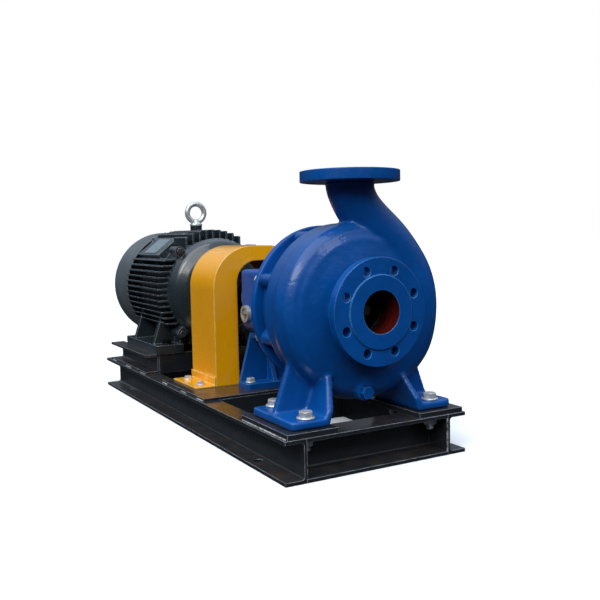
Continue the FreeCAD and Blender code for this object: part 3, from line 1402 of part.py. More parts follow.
def make_stator():
    """Stator core with slots for the windings, and the winding heads at both ends."""
    start = d.core_start
    end = start + d.core_length
    core = body("stator_core", (0, motor_y, d.shaft_height))
    spin(core, [ring_loop(d.rotor_radius + d.air_gap, d.frame_bore - d.fit_gap, start, end)])
    heads = [
        turned([(94, start - 26, 8), (118, start - 26, 8), (118, start - 0.3), (94, start - 0.3)]),
        turned([(94, end + 0.3), (118, end + 0.3), (118, end + 26, 8), (94, end + 26, 8)]),
    ]
    shaped("stator_windings", Part.makeCompound(heads), (0, motor_y, d.shaft_height))


def make_motor_rotor():
    """Motor shaft, rotor core and the radial fan behind the rear shield."""
    at = (0, motor_y, d.shaft_height)
    bearing = d.motor_bearing_bore - d.run_gap
    front_seat = 15
    rear_seat = d.rear_bearing_at
    core_start = d.core_start
    core_end = core_start + d.core_length
    shaft = body("motor_shaft", at)
    spin(shaft, [[
        (0, -d.motor_stub), (d.motor_shaft, -d.motor_stub), (d.motor_shaft, 0), (bearing, 0),
        (bearing, front_seat + d.motor_bearing_width), (30, front_seat + d.motor_bearing_width),
        (30, rear_seat), (bearing, rear_seat), (bearing, rear_seat + d.motor_bearing_width),
        (18, rear_seat + d.motor_bearing_width), (18, 456), (0, 456),
    ]])
    key = box_loop(-6, -92, 6, -28)
    pocket(shaft, "XY_Plane", [key], 5, lift=d.motor_shaft)
    key_shape = block(-5.9, 5.9, -91, -29, d.motor_shaft - 4.9, d.motor_shaft + 3)
    shaped("motor_key", key_shape, at)
    core = body("rotor_core", at)
    spin(core, [ring_loop(30 + d.run_gap, d.rotor_radius, core_start, core_end)])
    hub = turned([
        (18.05, 426), (30, 426), (30, 436), (118, 432), (118, 435), (34, 440), (30, 454), (18.05, 454),
    ])
    blade = block(28, 116, 410, 437, -1.5, 1.5)
    fan = merged([hub] + turned_copies(blade, 8))
    shaped("cooling_fan", fan, at)


def make_terminal_box():
    """Terminal box on the far side of the frame, with its lid, screws and cable gland."""
    at = (0, motor_y, d.shaft_height)
    middle = d.frame_start + d.frame_length / 2 - 25
    seat = d.terminal_seat
    z = 40
    rear = middle + 68
    shell = profile_along_x([(middle - 68, z - 56, 8), (middle + 68, z - 56, 8), (middle + 68, z + 56, 8),
                             (middle - 68, z + 56, 8)], seat, seat + 52)
    room = profile_along_x([(middle - 62, z - 50, 5), (middle + 62, z - 50, 5), (middle + 62, z + 50, 5),
                            (middle - 62, z + 50, 5)], seat + 6, seat + 53)
    cable_hole = rod(13, rear - 10, rear + 2)
    cable_hole.translate(FreeCAD.Vector(seat + 26, 0, z))
    floor_hole = Part.makeCylinder(16, 12, FreeCAD.Vector(seat - 2, middle, z), FreeCAD.Vector(1, 0, 0))
    shaped("terminal_box", shell.cut([room, cable_hole, floor_hole]), at)
    lid = profile_along_x([(middle - 70, z - 58, 9), (middle + 70, z - 58, 9), (middle + 70, z + 58, 9),
                           (middle - 70, z + 58, 9)], seat + 52, seat + 58)
    crown = profile_along_x([(middle - 58, z - 46, 8), (middle + 58, z - 46, 8), (middle + 58, z + 46, 8),
                             (middle - 58, z + 46, 8)], seat + 57, seat + 63)
    shaped("terminal_box_lid", merged([lid, crown]), at)
    gland = merged([
        turned_up([(9, 5), (12.7, 5), (12.7, 0), (20, 0), (20, -4), (17, -4), (17, -22, 4), (9, -22)], 0, 0),
        hexagon(34, 0, 0, -14, 10, FreeCAD.Vector(0, 0, 1)),
    ]).cut(upright_rod(9, 0, 0, -30, 10))
    gland.rotate(FreeCAD.Vector(0, 0, 0), FreeCAD.Vector(1, 0, 0), 90)
    gland.translate(FreeCAD.Vector(seat + 26, rear, z))
    shaped("cable_gland", gland, at)


def make_eye_bolt():
    """Forged lifting eye: ring, neck and collar on the frame's boss."""
    at = (0, motor_y + d.frame_start + d.frame_length / 2 - d.eye_back, d.shaft_height)
    seat = d.fin_radius + 12
    centre = seat + 11 + d.eye_ring
    eye = Part.makeTorus(d.eye_ring, d.eye_rod, FreeCAD.Vector(0, 0, centre), FreeCAD.Vector(0, 1, 0))
    shank = d.eye_thread - d.fit_gap
    neck = turned_up([(0, seat - 20), (shank, seat - 20), (shank, seat), (17, seat, 1), (17, seat + 4, 2),
                      (10, seat + 11, 5), (8.5, seat + 15), (0, seat + 15)])
    shaped("eye_bolt", merged([eye, neck]), at)


def make_nameplate():
    """A bare plate on the frame's flat."""
    at = (0, motor_y, d.shaft_height)
    start = d.frame_start + 144
    plate = block(d.plate_seat, d.plate_seat + 1.2, start, start + 90, -29, 29)
    plate.rotate(FreeCAD.Vector(0, 0, 0), FreeCAD.Vector(0, -1, 0), d.plate_angle)
    shaped("nameplate", plate, at)


def make_motor_foot_bolts():
    """Four bolts with nuts through the motor feet and the bearers."""
    group = []
    top = motor_feet_z + d.motor_foot_thickness
    under = d.rail_height + d.riser_height - d.riser_lip
    for side in (-1, 1):
        for y in (d.motor_first_hole, d.motor_first_hole + d.motor_foot_y):
            group.append(bolt_down(side * d.motor_foot_x / 2, motor_y + y, top, under, 6.5))
    shaped("motor_foot_bolts", Part.makeCompound(group))


def make_base():
    """Every piece of the base frame."""
    make_rail("left_rail", -1)
    make_rail("right_rail", 1)
    half = d.base_length / 2
    front_y = -half + d.front_toes
    front = make_cross_member("front_cross_member", front_y, -1, d.front_toes)
    bolt_y = suction_y + d.discharge_y - d.foot_bolts_y / 2 - front_y
    holes = [Round(side * d.foot_bolts_x / 2, bolt_y, d.foot_hole) for side in (-1, 1)]
    pocket(front, "XY_Plane", holes, d.rail_lip, lift=d.rail_height)
    middle = make_cross_member("middle_member", suction_y + d.plate_start, 1, d.rail_flange)
    rear = make_cross_member("rear_member", half - d.rail_flange, 1, d.rail_flange)
    grouped("rear_cross_members", [middle, rear])
    grouped("pump_pads", [make_pump_pad("left_pad", -1), make_pump_pad("right_pad", 1)])
    make_bracket_plate()
    make_riser("left_motor_riser", -1)
    make_riser("right_motor_riser", 1)
    first = motor_y + d.motor_first_hole
    front = make_motor_bearer("front_bearer", first, 1)
    back = make_motor_bearer("rear_bearer", first + d.motor_foot_y, -1)
    grouped("motor_bearers", [front, back])


def make_pump():
    """Every standing piece of the pump."""
    make_casing()
    make_plugs()
    make_wear_ring()
    make_cover()
    make_studs()
    make_bracket()
    make_bearing_covers()
    make_oil_fittings()
    make_support_foot()
    make_pump_foot_bolts()


def make_pump_rotor():
    """Everything that turns with the pump shaft, and both pump bearings."""
    make_pump_shaft()
    make_impeller()
    make_rotor_fittings()
    make_coupling()
    starts = [d.housing_start + 8, d.housing_end - 5 - d.bearing_width]
    make_bearings("pump_bearing", d.bearing_bore, d.bearing_radius, d.bearing_width, starts, suction_y)


def make_motor():
    """Every piece of the motor, and its bearings."""
    make_motor_frame()
    make_drive_shield()
    make_rear_shield()
    make_fan_cowl()
    make_shield_bolts()
    make_stator()
    make_motor_rotor()
    make_terminal_box()
    make_eye_bolt()
    make_nameplate()
    make_motor_foot_bolts()
    size = (d.motor_bearing_bore, d.motor_bearing_radius, d.motor_bearing_width)
    make_bearings("motor_bearing", *size, [15, d.rear_bearing_at], motor_y)


def check_and_export():
    """Stops at a failed object, then writes each piece to its own file."""
    doc.recompute()
    for item in doc.Objects:
        if "Invalid" in item.State or "Error" in item.State:
            raise RuntimeError(f"{item.Label} failed: {item.State}")
    for piece in pieces:
        if piece.Shape.isNull() or not piece.Shape.isValid():
            raise RuntimeError(f"{piece.Label} has no valid shape")
    os.makedirs("parts", exist_ok=True)
    for piece in pieces:
        piece.Shape.exportStep(os.path.join("parts", piece.Label + ".step"))
        print(f"{piece.Label}: {len(piece.Shape.Solids)} solid(s), {piece.Shape.Volume / 1000:.1f} cm3")


make_base()
make_pump()
make_pump_rotor()
make_guard()
grouped("guard_feet", [make_guard_foot("left_foot", -1), make_guard_foot("right_foot", 1)])
make_guard_bolts()
make_motor()
check_and_export()
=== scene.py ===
"""Looks of a horizontal end-suction pump set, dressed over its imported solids.

Frame: X across the base, Y along the shaft from the suction flange to the motor, Z up, all in metres.
"""

import json
import logging
import math
from dataclasses import dataclass
from enum import Enum
from typing import Any, Iterable

import bmesh
import bpy
from mathutils import Matrix, Vector


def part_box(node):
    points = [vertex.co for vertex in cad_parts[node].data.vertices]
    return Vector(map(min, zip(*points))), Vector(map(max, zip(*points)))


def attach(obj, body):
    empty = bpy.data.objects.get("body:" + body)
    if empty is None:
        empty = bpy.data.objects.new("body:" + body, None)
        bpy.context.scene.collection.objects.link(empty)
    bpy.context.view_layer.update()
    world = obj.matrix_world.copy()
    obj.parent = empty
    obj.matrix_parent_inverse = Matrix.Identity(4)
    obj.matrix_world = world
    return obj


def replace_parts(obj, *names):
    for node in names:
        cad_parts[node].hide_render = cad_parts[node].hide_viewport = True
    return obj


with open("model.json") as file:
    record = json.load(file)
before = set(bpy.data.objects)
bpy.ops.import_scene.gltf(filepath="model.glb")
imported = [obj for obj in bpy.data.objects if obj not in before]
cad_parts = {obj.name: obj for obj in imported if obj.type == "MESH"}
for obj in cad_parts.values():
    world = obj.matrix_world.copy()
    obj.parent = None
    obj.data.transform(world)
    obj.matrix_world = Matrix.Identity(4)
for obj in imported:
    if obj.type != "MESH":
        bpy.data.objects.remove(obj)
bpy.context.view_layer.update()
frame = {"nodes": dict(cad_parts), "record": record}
MM = 0.001
LOG = logging.getLogger("pump set")


class Facing(Enum):
    """Directions that bolt heads and nuts face."""

    UP = (0.0, 0.0, 1.0)
    DOWN = (0.0, 0.0, -1.0)
    FRONT = (0.0, -1.0, 0.0)
    REAR = (0.0, 1.0, 0.0)

    def at(self, place: Vector) -> Matrix:
        """Stands a shape's own Z along this direction at a place."""
        return Matrix.Translation(place) @ Vector(self.value).to_track_quat("Z", "Y").to_matrix().to_4x4()


class Side(Enum):
    """The two sides of the base seen from the suction flange."""

    LEFT = -1.0
    RIGHT = 1.0


def mount_place(name: str) -> Vector:
    """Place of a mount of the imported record."""
    return Vector(next(m["pos_m"] for m in frame["record"]["mounts"] if m["name"] == name))


SUCTION = mount_place("suction_face")
SHAFT_Z = SUCTION.z


def behind(millimetres: float) -> float:
    """Row Y of a distance behind the suction face, in millimetres."""
    return SUCTION.y + millimetres * MM


def linear(colour: str) -> tuple[float, float, float, float]:
    """Turns an sRGB hex colour to linear light.

    Args:
        colour: six hex digits after a hash sign.

    Returns:
        Red, green, blue and an alpha of 1.
    """
    parts = [int(colour[i:i + 2], 16) / 255 for i in (1, 3, 5)]
    return (*[p / 12.92 if p <= 0.04045 else ((p + 0.055) / 1.055) ** 2.4 for p in parts], 1.0)


def add_node(tree: bpy.types.NodeTree, kind: str, inputs: dict | None = None,
             **settings: Any) -> bpy.types.Node:
    """Adds a shader node.

    Args:
        tree: node tree of the material or the world.
        kind: node type name.
        inputs: socket name or index to a value or to another node's output.
        **settings: attributes of the node.

    Returns:
        The new node.
    """
    node = tree.nodes.new(kind)
    for name, value in settings.items():
        setattr(node, name, value)
    for key, value in (inputs or {}).items():
        if isinstance(value, bpy.types.NodeSocket):
            tree.links.new(value, node.inputs[key])
        else:
            node.inputs[key].default_value = value
    return node


def per_metre(size_mm: float) -> float:
    """Noise scale whose features are about size_mm across."""
    return 1000.0 / size_mm


@dataclass(frozen=True)
class Finish:
    """A material and how its surface was made."""

    name: str
    colour: str

    def material(self) -> bpy.types.Material:
        """Builds the material once and hands it out again afterwards."""
        made = bpy.data.materials.get(self.name)
        if made is None:
            made = bpy.data.materials.new(self.name)
            made.use_nodes = True
            made.node_tree.nodes.clear()
            made.diffuse_color = linear(self.colour)
            self.build(made.node_tree)
        return made

    def build(self, tree: bpy.types.NodeTree) -> None:
        """Fills the node tree."""
        raise NotImplementedError

    def outline(self, tree: bpy.types.NodeTree, shader: bpy.types.NodeSocket) -> None:
        """Joins the shader to the surface output."""
        add_node(tree, "ShaderNodeOutputMaterial", {"Surface": shader})

    def noise(self, tree: bpy.types.NodeTree, size_mm: float, detail: float = 3.0,
              stretch: tuple[float, float, float] = (1, 1, 1)) -> bpy.types.NodeSocket:
        """Grey noise on object coordinates with features of a real size.

        Args:
            tree: node tree to add to.
            size_mm: feature size.
            detail: octaves.
            stretch: scale of the pattern along each axis.

        Returns:
            The grey output.
        """
        place = add_node(tree, "ShaderNodeTexCoord").outputs["Object"]
        mapped = add_node(tree, "ShaderNodeMapping", {"Vector": place, "Scale": stretch})
        return add_node(tree, "ShaderNodeTexNoise", {
            "Vector": mapped.outputs["Vector"], "Scale": per_metre(size_mm), "Detail": detail,
            "Roughness": 0.55,
        }).outputs["Fac"]

    def ranged(self, tree: bpy.types.NodeTree, value: bpy.types.NodeSocket, low: float, high: float,
               to_low: float = 0.0, to_high: float = 1.0) -> bpy.types.NodeSocket:
        """A value stretched from one range to another and held there."""
        return add_node(tree, "ShaderNodeMapRange", {
            "Value": value, "From Min": low, "From Max": high, "To Min": to_low, "To Max": to_high,
        }, clamp=True).outputs["Result"]

    def blended(self, tree: bpy.types.NodeTree, first: Any, second: Any,
                factor: Any) -> bpy.types.NodeSocket:
        """A colour between two others."""
        mix = add_node(tree, "ShaderNodeMix", {"Factor": factor, 6: first, 7: second}, data_type="RGBA")
        return mix.outputs[2]

    def math(self, tree: bpy.types.NodeTree, operation: str, *values: Any) -> bpy.types.NodeSocket:
        """The result of one Math node."""
        return add_node(tree, "ShaderNodeMath", dict(enumerate(values)), operation=operation).outputs[0]

    def softened(self, tree: bpy.types.NodeTree, radius_mm: float) -> bpy.types.NodeSocket:
        """Normals as if edges had a small radius."""
        return add_node(tree, "ShaderNodeBevel", {"Radius": radius_mm * MM}, samples=6).outputs["Normal"]

    def edge_mask(self, tree: bpy.types.NodeTree, soft: bpy.types.NodeSocket) -> bpy.types.NodeSocket:
        """1 on edges, where the softened normal leaves the plain one, fading to 0 beside them."""
        plain = add_node(tree, "ShaderNodeNewGeometry").outputs["Normal"]
        turn = add_node(tree, "ShaderNodeVectorMath", {0: soft, 1: plain}, operation="DOT_PRODUCT")
        return self.ranged(tree, turn.outputs["Value"], 0.995, 0.85)


@dataclass(frozen=True)
class Enamel(Finish):
    """Paint over steel or iron: darker in random patches, a painted highlight along its edges, and on upward
    faces real dust on the channel and a painted top highlight on the blue enamels.
    """

    shade: str = "#000000"
    # Colour and share of the painted highlight along edges.
    edge: str = "#FFFFFF"
    edge_highlight_amount: float = 0.3
    edge_radius_mm: float = 1.2
    patch_mm: float = 90.0
    patch_amount: float = 0.5
    rough: tuple[float, float] = (0.25, 0.4)
    coat: float = 0.3
    coat_rough: float = 0.12
    grain_mm: float = 1.6
    grain_depth_mm: float = 0.05
    lump_mm: float = 14.0
    lump_depth_mm: float = 0.25
    # Colour and share laid on upward faces: real dust on some finishes, a painted top highlight on the blue
    # enamels.
    dust_and_sheen: str = "#8C8478"
    dust_and_sheen_amount: float = 0.15
    # Primer colour in the bores, darkened to stand for the shade inside them.
    primer_and_bore_shade: str = ""
    specular: float = 0.5

    def build(self, tree: bpy.types.NodeTree) -> None:
        """Base colour patches, a painted highlight line along edges, dust and painted top highlight on upward
        faces, primer darkened as painted shade in bores, grain and brush lumps.
        """
        soft = self.softened(tree, self.edge_radius_mm)
        edges = self.edge_mask(tree, soft)
        patches = self.ranged(tree, self.noise(tree, self.patch_mm), 0.35, 0.68, 0.0, self.patch_amount)
        colour = self.blended(tree, linear(self.colour), linear(self.shade), patches)
        # Painted highlight along the edges, broken up by a noise.
        highlight_breakup = self.ranged(tree, self.noise(tree, 22.0, 5.0), 0.35, 0.6, 0.35, 1.0)
        edge_share = self.math(tree, "MULTIPLY", self.math(tree, "MULTIPLY", edges, highlight_breakup), self.edge_highlight_amount)
        colour = self.blended(tree, colour, linear(self.edge), edge_share)
        # Upward faces take this colour: dust on the channel, a painted top highlight on the blue enamels.
        up = add_node(tree, "ShaderNodeSeparateXYZ", {
            0: add_node(tree, "ShaderNodeNewGeometry").outputs["Normal"]}).outputs["Z"]
        lying = self.math(tree, "MULTIPLY", self.ranged(tree, up, 0.55, 0.98), self.ranged(
            tree, self.noise(tree, 35.0, 6.0), 0.38, 0.68, 0.0, self.dust_and_sheen_amount))
        colour = self.blended(tree, colour, linear(self.dust_and_sheen), lying)
        # Primer in the bores, darkened as painted shade.
        if self.primer_and_bore_shade:
            colour = self.blended(tree, colour, linear(self.primer_and_bore_shade), self.inside_bores(tree))
        rough = self.ranged(tree, self.noise(tree, 30.0, 4.0), 0.3, 0.7, *self.rough)
        lumps = add_node(tree, "ShaderNodeBump", {
            "Height": self.noise(tree, self.lump_mm, 2.0), "Distance": self.lump_depth_mm * MM,
            "Strength": 1.0, "Normal": soft})
        grain = add_node(tree, "ShaderNodeBump", {
            "Height": self.noise(tree, self.grain_mm, 2.0), "Distance": self.grain_depth_mm * MM,
            "Strength": 1.0, "Normal": lumps.outputs["Normal"]})
        shader = add_node(tree, "ShaderNodeBsdfPrincipled", {
            "Base Color": colour, "Roughness": rough, "Normal": grain.outputs["Normal"],
            "Coat Weight": self.coat, "Coat Roughness": self.coat_rough,
            "Coat Normal": lumps.outputs["Normal"], "Specular IOR Level": self.specular,
        })
        self.outline(tree, shader.outputs["BSDF"])

    def inside_bores(self, tree: bpy.types.NodeTree) -> bpy.types.NodeSocket:
        """1 inside the suction and discharge passages, 0 outside."""
        place = add_node(tree, "ShaderNodeTexCoord").outputs["Object"]
        parts = add_node(tree, "ShaderNodeSeparateXYZ", {0: place})
        level = self.radius_about(tree, place, (0.0, 0.0, SHAFT_Z), (1.0, 0.0, 1.0))
        upright = self.radius_about(tree, place, (0.0, behind(100), 0.0), (1.0, 1.0, 0.0))
        suction = self.math(tree, "MULTIPLY", self.ranged(tree, level, 43.5 * MM, 43 * MM),
                            self.ranged(tree, parts.outputs["Y"], behind(0.3), behind(0.8)))
        discharge = self.math(tree, "MULTIPLY", self.ranged(tree, upright, 34.2 * MM, 33.8 * MM),
                              self.ranged(tree, parts.outputs["Z"], SHAFT_Z + 190 * MM, SHAFT_Z + 200 * MM))
        shallow = self.ranged(tree, parts.outputs["Y"], behind(76), behind(70))
        return self.math(tree, "MAXIMUM", self.math(tree, "MULTIPLY", suction, shallow), discharge)

    def radius_about(self, tree: bpy.types.NodeTree, place: bpy.types.NodeSocket,
                     centre: tuple[float, float, float],
                     across: tuple[float, float, float]) -> bpy.types.NodeSocket:
        """Distance from a line through centre, along the axis whose share in across is zero."""
        away = add_node(tree, "ShaderNodeVectorMath", {0: place, 1: centre}, operation="SUBTRACT").outputs[0]
        flat = add_node(tree, "ShaderNodeVectorMath", {0: away, 1: across}, operation="MULTIPLY").outputs[0]
        return add_node(tree, "ShaderNodeVectorMath", {0: flat}, operation="LENGTH").outputs["Value"]


@dataclass(frozen=True)
class BareMetal(Finish):
    """Unpainted metal: turned, plated or cast."""

    tint: str = "#808080"
    rough: tuple[float, float] = (0.25, 0.45)
    line_mm: float = 0.8
    stretch: tuple[float, float, float] = (1.0, 1.0, 1.0)
    depth_mm: float = 0.02
    edge_radius_mm: float = 0.5
    metallic: float = 1.0

    def build(self, tree: bpy.types.NodeTree) -> None:
        """Tinted patches, tool marks or grain, and rounded edges."""
        soft = self.softened(tree, self.edge_radius_mm)
        patches = self.ranged(tree, self.noise(tree, 12.0, 5.0), 0.35, 0.65)
        colour = self.blended(tree, linear(self.colour), linear(self.tint), patches)
        rough = self.ranged(tree, self.noise(tree, 6.0, 4.0), 0.3, 0.7, *self.rough)
        marks = add_node(tree, "ShaderNodeBump", {
            "Height": self.noise(tree, self.line_mm, 2.0, self.stretch), "Distance": self.depth_mm * MM,
            "Strength": 1.0, "Normal": soft})
        shader = add_node(tree, "ShaderNodeBsdfPrincipled", {
            "Base Color": colour, "Roughness": rough, "Metallic": self.metallic,
            "Normal": marks.outputs["Normal"],
        })
        self.outline(tree, shader.outputs["BSDF"])


@dataclass(frozen=True)
class Moulded(Finish):
    """Rubber or plastic out of a mould."""

    tint: str = "#202020"
    rough: tuple[float, float] = (0.5, 0.7)
    grain_mm: float = 0.9
    grain_depth_mm: float = 0.03
    edge_radius_mm: float = 0.6

    def build(self, tree: bpy.types.NodeTree) -> None:
        """Slight mottling and a fine grain."""
        soft = self.softened(tree, self.edge_radius_mm)
        colour = self.blended(tree, linear(self.colour), linear(self.tint), self.noise(tree, 18.0))
        rough = self.ranged(tree, self.noise(tree, 9.0), 0.3, 0.7, *self.rough)
        grain = add_node(tree, "ShaderNodeBump", {
            "Height": self.noise(tree, self.grain_mm), "Distance": self.grain_depth_mm * MM,
            "Strength": 1.0, "Normal": soft})
        shader = add_node(tree, "ShaderNodeBsdfPrincipled", {
            "Base Color": colour, "Roughness": rough, "Normal": grain.outputs["Normal"]})
        self.outline(tree, shader.outputs["BSDF"])


@dataclass(frozen=True)
class SightPane(Finish):
    """Clear pane with oil standing behind its lower half."""

    oil: str = "#4A3720"

    def build(self, tree: bpy.types.NodeTree) -> None:
        """Amber below the oil line, pale above it."""
        place = add_node(tree, "ShaderNodeTexCoord").outputs["Object"]
        height = add_node(tree, "ShaderNodeSeparateXYZ", {0: place}).outputs["Z"]
        wave = self.math(tree, "MULTIPLY", self.noise(tree, 8.0), 0.0006)
        line = self.math(tree, "ADD", height, wave)
        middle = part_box("sight_glass_pane")
        level = (middle[0].z + middle[1].z) / 2
        above = self.ranged(tree, line, level - 0.0002, level + 0.0008)
        colour = self.blended(tree, linear(self.oil), linear(self.colour), above)
        rough = self.ranged(tree, self.noise(tree, 3.0), 0.3, 0.7, 0.03, 0.08)
        shader = add_node(tree, "ShaderNodeBsdfPrincipled", {
            "Base Color": colour, "Roughness": rough, "Transmission Weight": 0.35, "IOR": 1.5,
            "Coat Weight": 1.0, "Coat Roughness": 0.03})
        self.outline(tree, shader.outputs["BSDF"])


@dataclass(frozen=True)
class Stacked(Finish):
    """Sheet stack or wound wire: fine parallel lines across the shaft."""

    tint: str = "#404040"
    pitch_mm: float = 2.0
    depth_mm: float = 0.2
    rough: tuple[float, float] = (0.35, 0.55)
    metallic: float = 0.8

    def build(self, tree: bpy.types.NodeTree) -> None:
        """Bands along Y, drawn coarser than the real sheets so that they show."""
        place = add_node(tree, "ShaderNodeTexCoord").outputs["Object"]
        bands = add_node(tree, "ShaderNodeTexWave", {
            "Vector": place, "Scale": per_metre(self.pitch_mm) / 20.0, "Distortion": 0.4, "Detail": 1.0,
        }, bands_direction="Y").outputs["Fac"]
        mottled = self.math(tree, "MULTIPLY", bands, self.noise(tree, 20.0))
        colour = self.blended(tree, linear(self.colour), linear(self.tint), mottled)
        rough = self.ranged(tree, self.noise(tree, 5.0), 0.3, 0.7, *self.rough)
        ridges = add_node(tree, "ShaderNodeBump", {
            "Height": bands, "Distance": self.depth_mm * MM, "Strength": 1.0})
        shader = add_node(tree, "ShaderNodeBsdfPrincipled", {
            "Base Color": colour, "Roughness": rough, "Metallic": self.metallic,
            "Normal": ridges.outputs["Normal"]})
        self.outline(tree, shader.outputs["BSDF"])


# Alkyd enamel sprayed over sand-cast iron: wet gloss over a lumpy skin, a pale blue painted highlight along
# the edges and on upward faces, red oxide primer in the bores darkened to stand for the shade there.
PUMP_ENAMEL = Enamel("blue alkyd enamel on sand-cast iron", "#004C98", shade="#003570", edge="#5AACE8",
                     edge_highlight_amount=0.75, edge_radius_mm=2.2, patch_mm=110, rough=(0.3, 0.44), coat=0.35,
                     coat_rough=0.08, grain_mm=2.4, grain_depth_mm=0.06, lump_mm=15, lump_depth_mm=0.8,
                     dust_and_sheen="#2F76B4", dust_and_sheen_amount=0.1, primer_and_bore_shade="#4A0F0B", specular=0.25)
# The same enamel on machined and smooth faces: less lump, a crisper painted highlight line along the edges,
# and a pale blue painted highlight on upward faces.
BRACKET_ENAMEL = Enamel("blue alkyd enamel on machined iron", "#004D9A", shade="#003772", edge="#52A6E4",
                        edge_highlight_amount=0.65, edge_radius_mm=1.8, patch_mm=90, rough=(0.32, 0.46), coat=0.1,
                        coat_rough=0.2, grain_mm=1.8, grain_depth_mm=0.03, lump_mm=22, lump_depth_mm=0.25,
                        dust_and_sheen="#2F6FA8", dust_and_sheen_amount=0.1, specular=0.22)
# Yellow enamel on bent sheet: smooth, deeper orange in broad random patches, a pale painted highlight along
# the bends and edges.
GUARD_ENAMEL = Enamel("yellow enamel on bent sheet steel", "#F0A800", shade="#DC8F00", edge="#FFEBA6",
                      edge_highlight_amount=0.7, edge_radius_mm=4.5, patch_mm=140, patch_amount=0.35, rough=(0.2, 0.3),
                      coat=0.6, coat_rough=0.08, grain_mm=3.0, grain_depth_mm=0.005, lump_mm=70,
                      lump_depth_mm=0.4, dust_and_sheen="#C99528", dust_and_sheen_amount=0.04)
# Thin black enamel brushed on hot-rolled channel: pale blue-grey painted highlight lines along the edges,
# brown shop dust on top.
CHANNEL_PAINT = Enamel("black enamel on hot-rolled channel", "#202429", shade="#0F1215", edge="#BCC6D0",
                       edge_highlight_amount=0.85, edge_radius_mm=1.6, patch_mm=80, rough=(0.24, 0.42), coat=0.5,
                       coat_rough=0.12, grain_mm=1.2, grain_depth_mm=0.04, lump_mm=26, lump_depth_mm=0.35,
                       dust_and_sheen="#4A382A", dust_and_sheen_amount=0.5)
# Green-charcoal enamel on fine sand casting: satin, with a pale blue-grey painted highlight along the edges
# and lighter grey on upward faces.
MOTOR_ENAMEL = Enamel("charcoal enamel on cast iron frame", "#252F35", shade="#10151A", edge="#C2D2DC",
                      edge_highlight_amount=0.85, edge_radius_mm=1.4, patch_mm=60, rough=(0.2, 0.34), coat=0.7,
                      coat_rough=0.12, grain_mm=1.6, grain_depth_mm=0.03, lump_mm=15, lump_depth_mm=0.2,
                      dust_and_sheen="#5A666C", dust_and_sheen_amount=0.15)
# Thin charcoal enamel on pressed sheet: greyer and flatter than the casing beside it, with a painted
# highlight along its edges and lighter grey on upward faces.
COWL_ENAMEL = Enamel("charcoal enamel on pressed sheet", "#5A6266", shade="#3A4146", edge="#B4BEC4",
                     edge_highlight_amount=0.5, edge_radius_mm=1.0, patch_mm=80, rough=(0.3, 0.44), coat=0.2,
                     coat_rough=0.16, grain_mm=1.6, grain_depth_mm=0.01, lump_mm=45, lump_depth_mm=0.25,
                     dust_and_sheen="#6C7478", dust_and_sheen_amount=0.1, specular=0.35)
# Bright zinc plating on forged steel: pale, slightly blue, soft broken reflections.
ZINC = BareMetal("bright zinc plating on forged steel", "#E6EAEB", tint="#BCC0C0", rough=(0.26, 0.42),
                 line_mm=1.0, depth_mm=0.02, edge_radius_mm=0.5, metallic=0.6)
# Ground steel: fine rings left by the wheel round the shaft.
GROUND_STEEL = BareMetal("ground shaft steel", "#B9BDC2", tint="#9BA0A6", rough=(0.15, 0.28), line_mm=1.2,
                         stretch=(0.05, 4.0, 0.05), depth_mm=0.006, edge_radius_mm=0.3)
# Phosphated bolt steel: nearly black with a dull oily sheen.
BLACK_OXIDE = BareMetal("black oxide bolt steel", "#2B2C2E", tint="#1B1C1E", rough=(0.35, 0.55), line_mm=1.2,
                        depth_mm=0.02, edge_radius_mm=0.5)
# Bare sand-cast iron: dark grey with a coarse skin.
CAST_IRON = BareMetal("bare sand-cast iron", "#4A4845", tint="#33312F", rough=(0.5, 0.7), line_mm=2.2,
                      depth_mm=0.12, edge_radius_mm=0.8, metallic=0.7)
# Turned bronze: warm, with tool rings.
BRONZE = BareMetal("turned bronze", "#B58248", tint="#8C6234", rough=(0.25, 0.4), line_mm=1.2,
                   stretch=(1.0, 3.0, 1.0), depth_mm=0.01)
# Die-cast aluminium: pale and soft.
DIE_CAST = BareMetal("die-cast aluminium", "#B9BCBF", tint="#9A9EA2", rough=(0.4, 0.55), line_mm=2.0,
                     depth_mm=0.04, metallic=0.5)
# Bare anodised sheet: even blue-grey with a faint brushed line.
PLATE = BareMetal("anodised aluminium sheet", "#8C9DA4", tint="#7C8D94", rough=(0.35, 0.48), line_mm=0.9,
                  stretch=(1.0, 0.06, 1.0), depth_mm=0.01, metallic=0.5)
# Moulded nitrile rubber: matt and black.
RUBBER = Moulded("moulded nitrile rubber", "#1B1B1C", tint="#262626", rough=(0.6, 0.8))
# Moulded nylon: black with a faint sheen.
NYLON = Moulded("moulded nylon", "#17181A", tint="#202224", rough=(0.35, 0.5))
# Lapped carbon ring: dark and smooth.
CARBON = Moulded("lapped carbon ring", "#232325", tint="#2E2E30", rough=(0.2, 0.3), grain_mm=0.5)
# Electrical sheet stack, its 0.5 mm sheets drawn at 2 mm so that they show.
SHEET_STACK = Stacked("stacked electrical sheet", "#7A7C80", tint="#4E5054")
# Varnished copper wire, its 1 mm turns drawn at 3 mm.
COPPER_WIRE = Stacked("varnished copper wire", "#A4541E", tint="#5F2A0C", pitch_mm=3.0, depth_mm=0.5)
# Clear pane before mineral oil.
PANE = SightPane("clear pane before oil", "#A9ACA2")
# Welding bead under the same black paint: shiny ripples, mottled pale and black in small patches, and a
# near-white painted highlight along its edges and on its upward faces.
BEAD = Enamel("black enamel on weld bead", "#A4A9AC", shade="#1C1E21", edge="#E2E6E8", edge_highlight_amount=0.6,
              edge_radius_mm=0.6, patch_mm=9, patch_amount=1.0, rough=(0.2, 0.34), coat=0.6, coat_rough=0.12,
              grain_mm=0.9, grain_depth_mm=0.05, lump_mm=3.0, lump_depth_mm=0.25, dust_and_sheen="#D4D6D8",
              dust_and_sheen_amount=0.85)


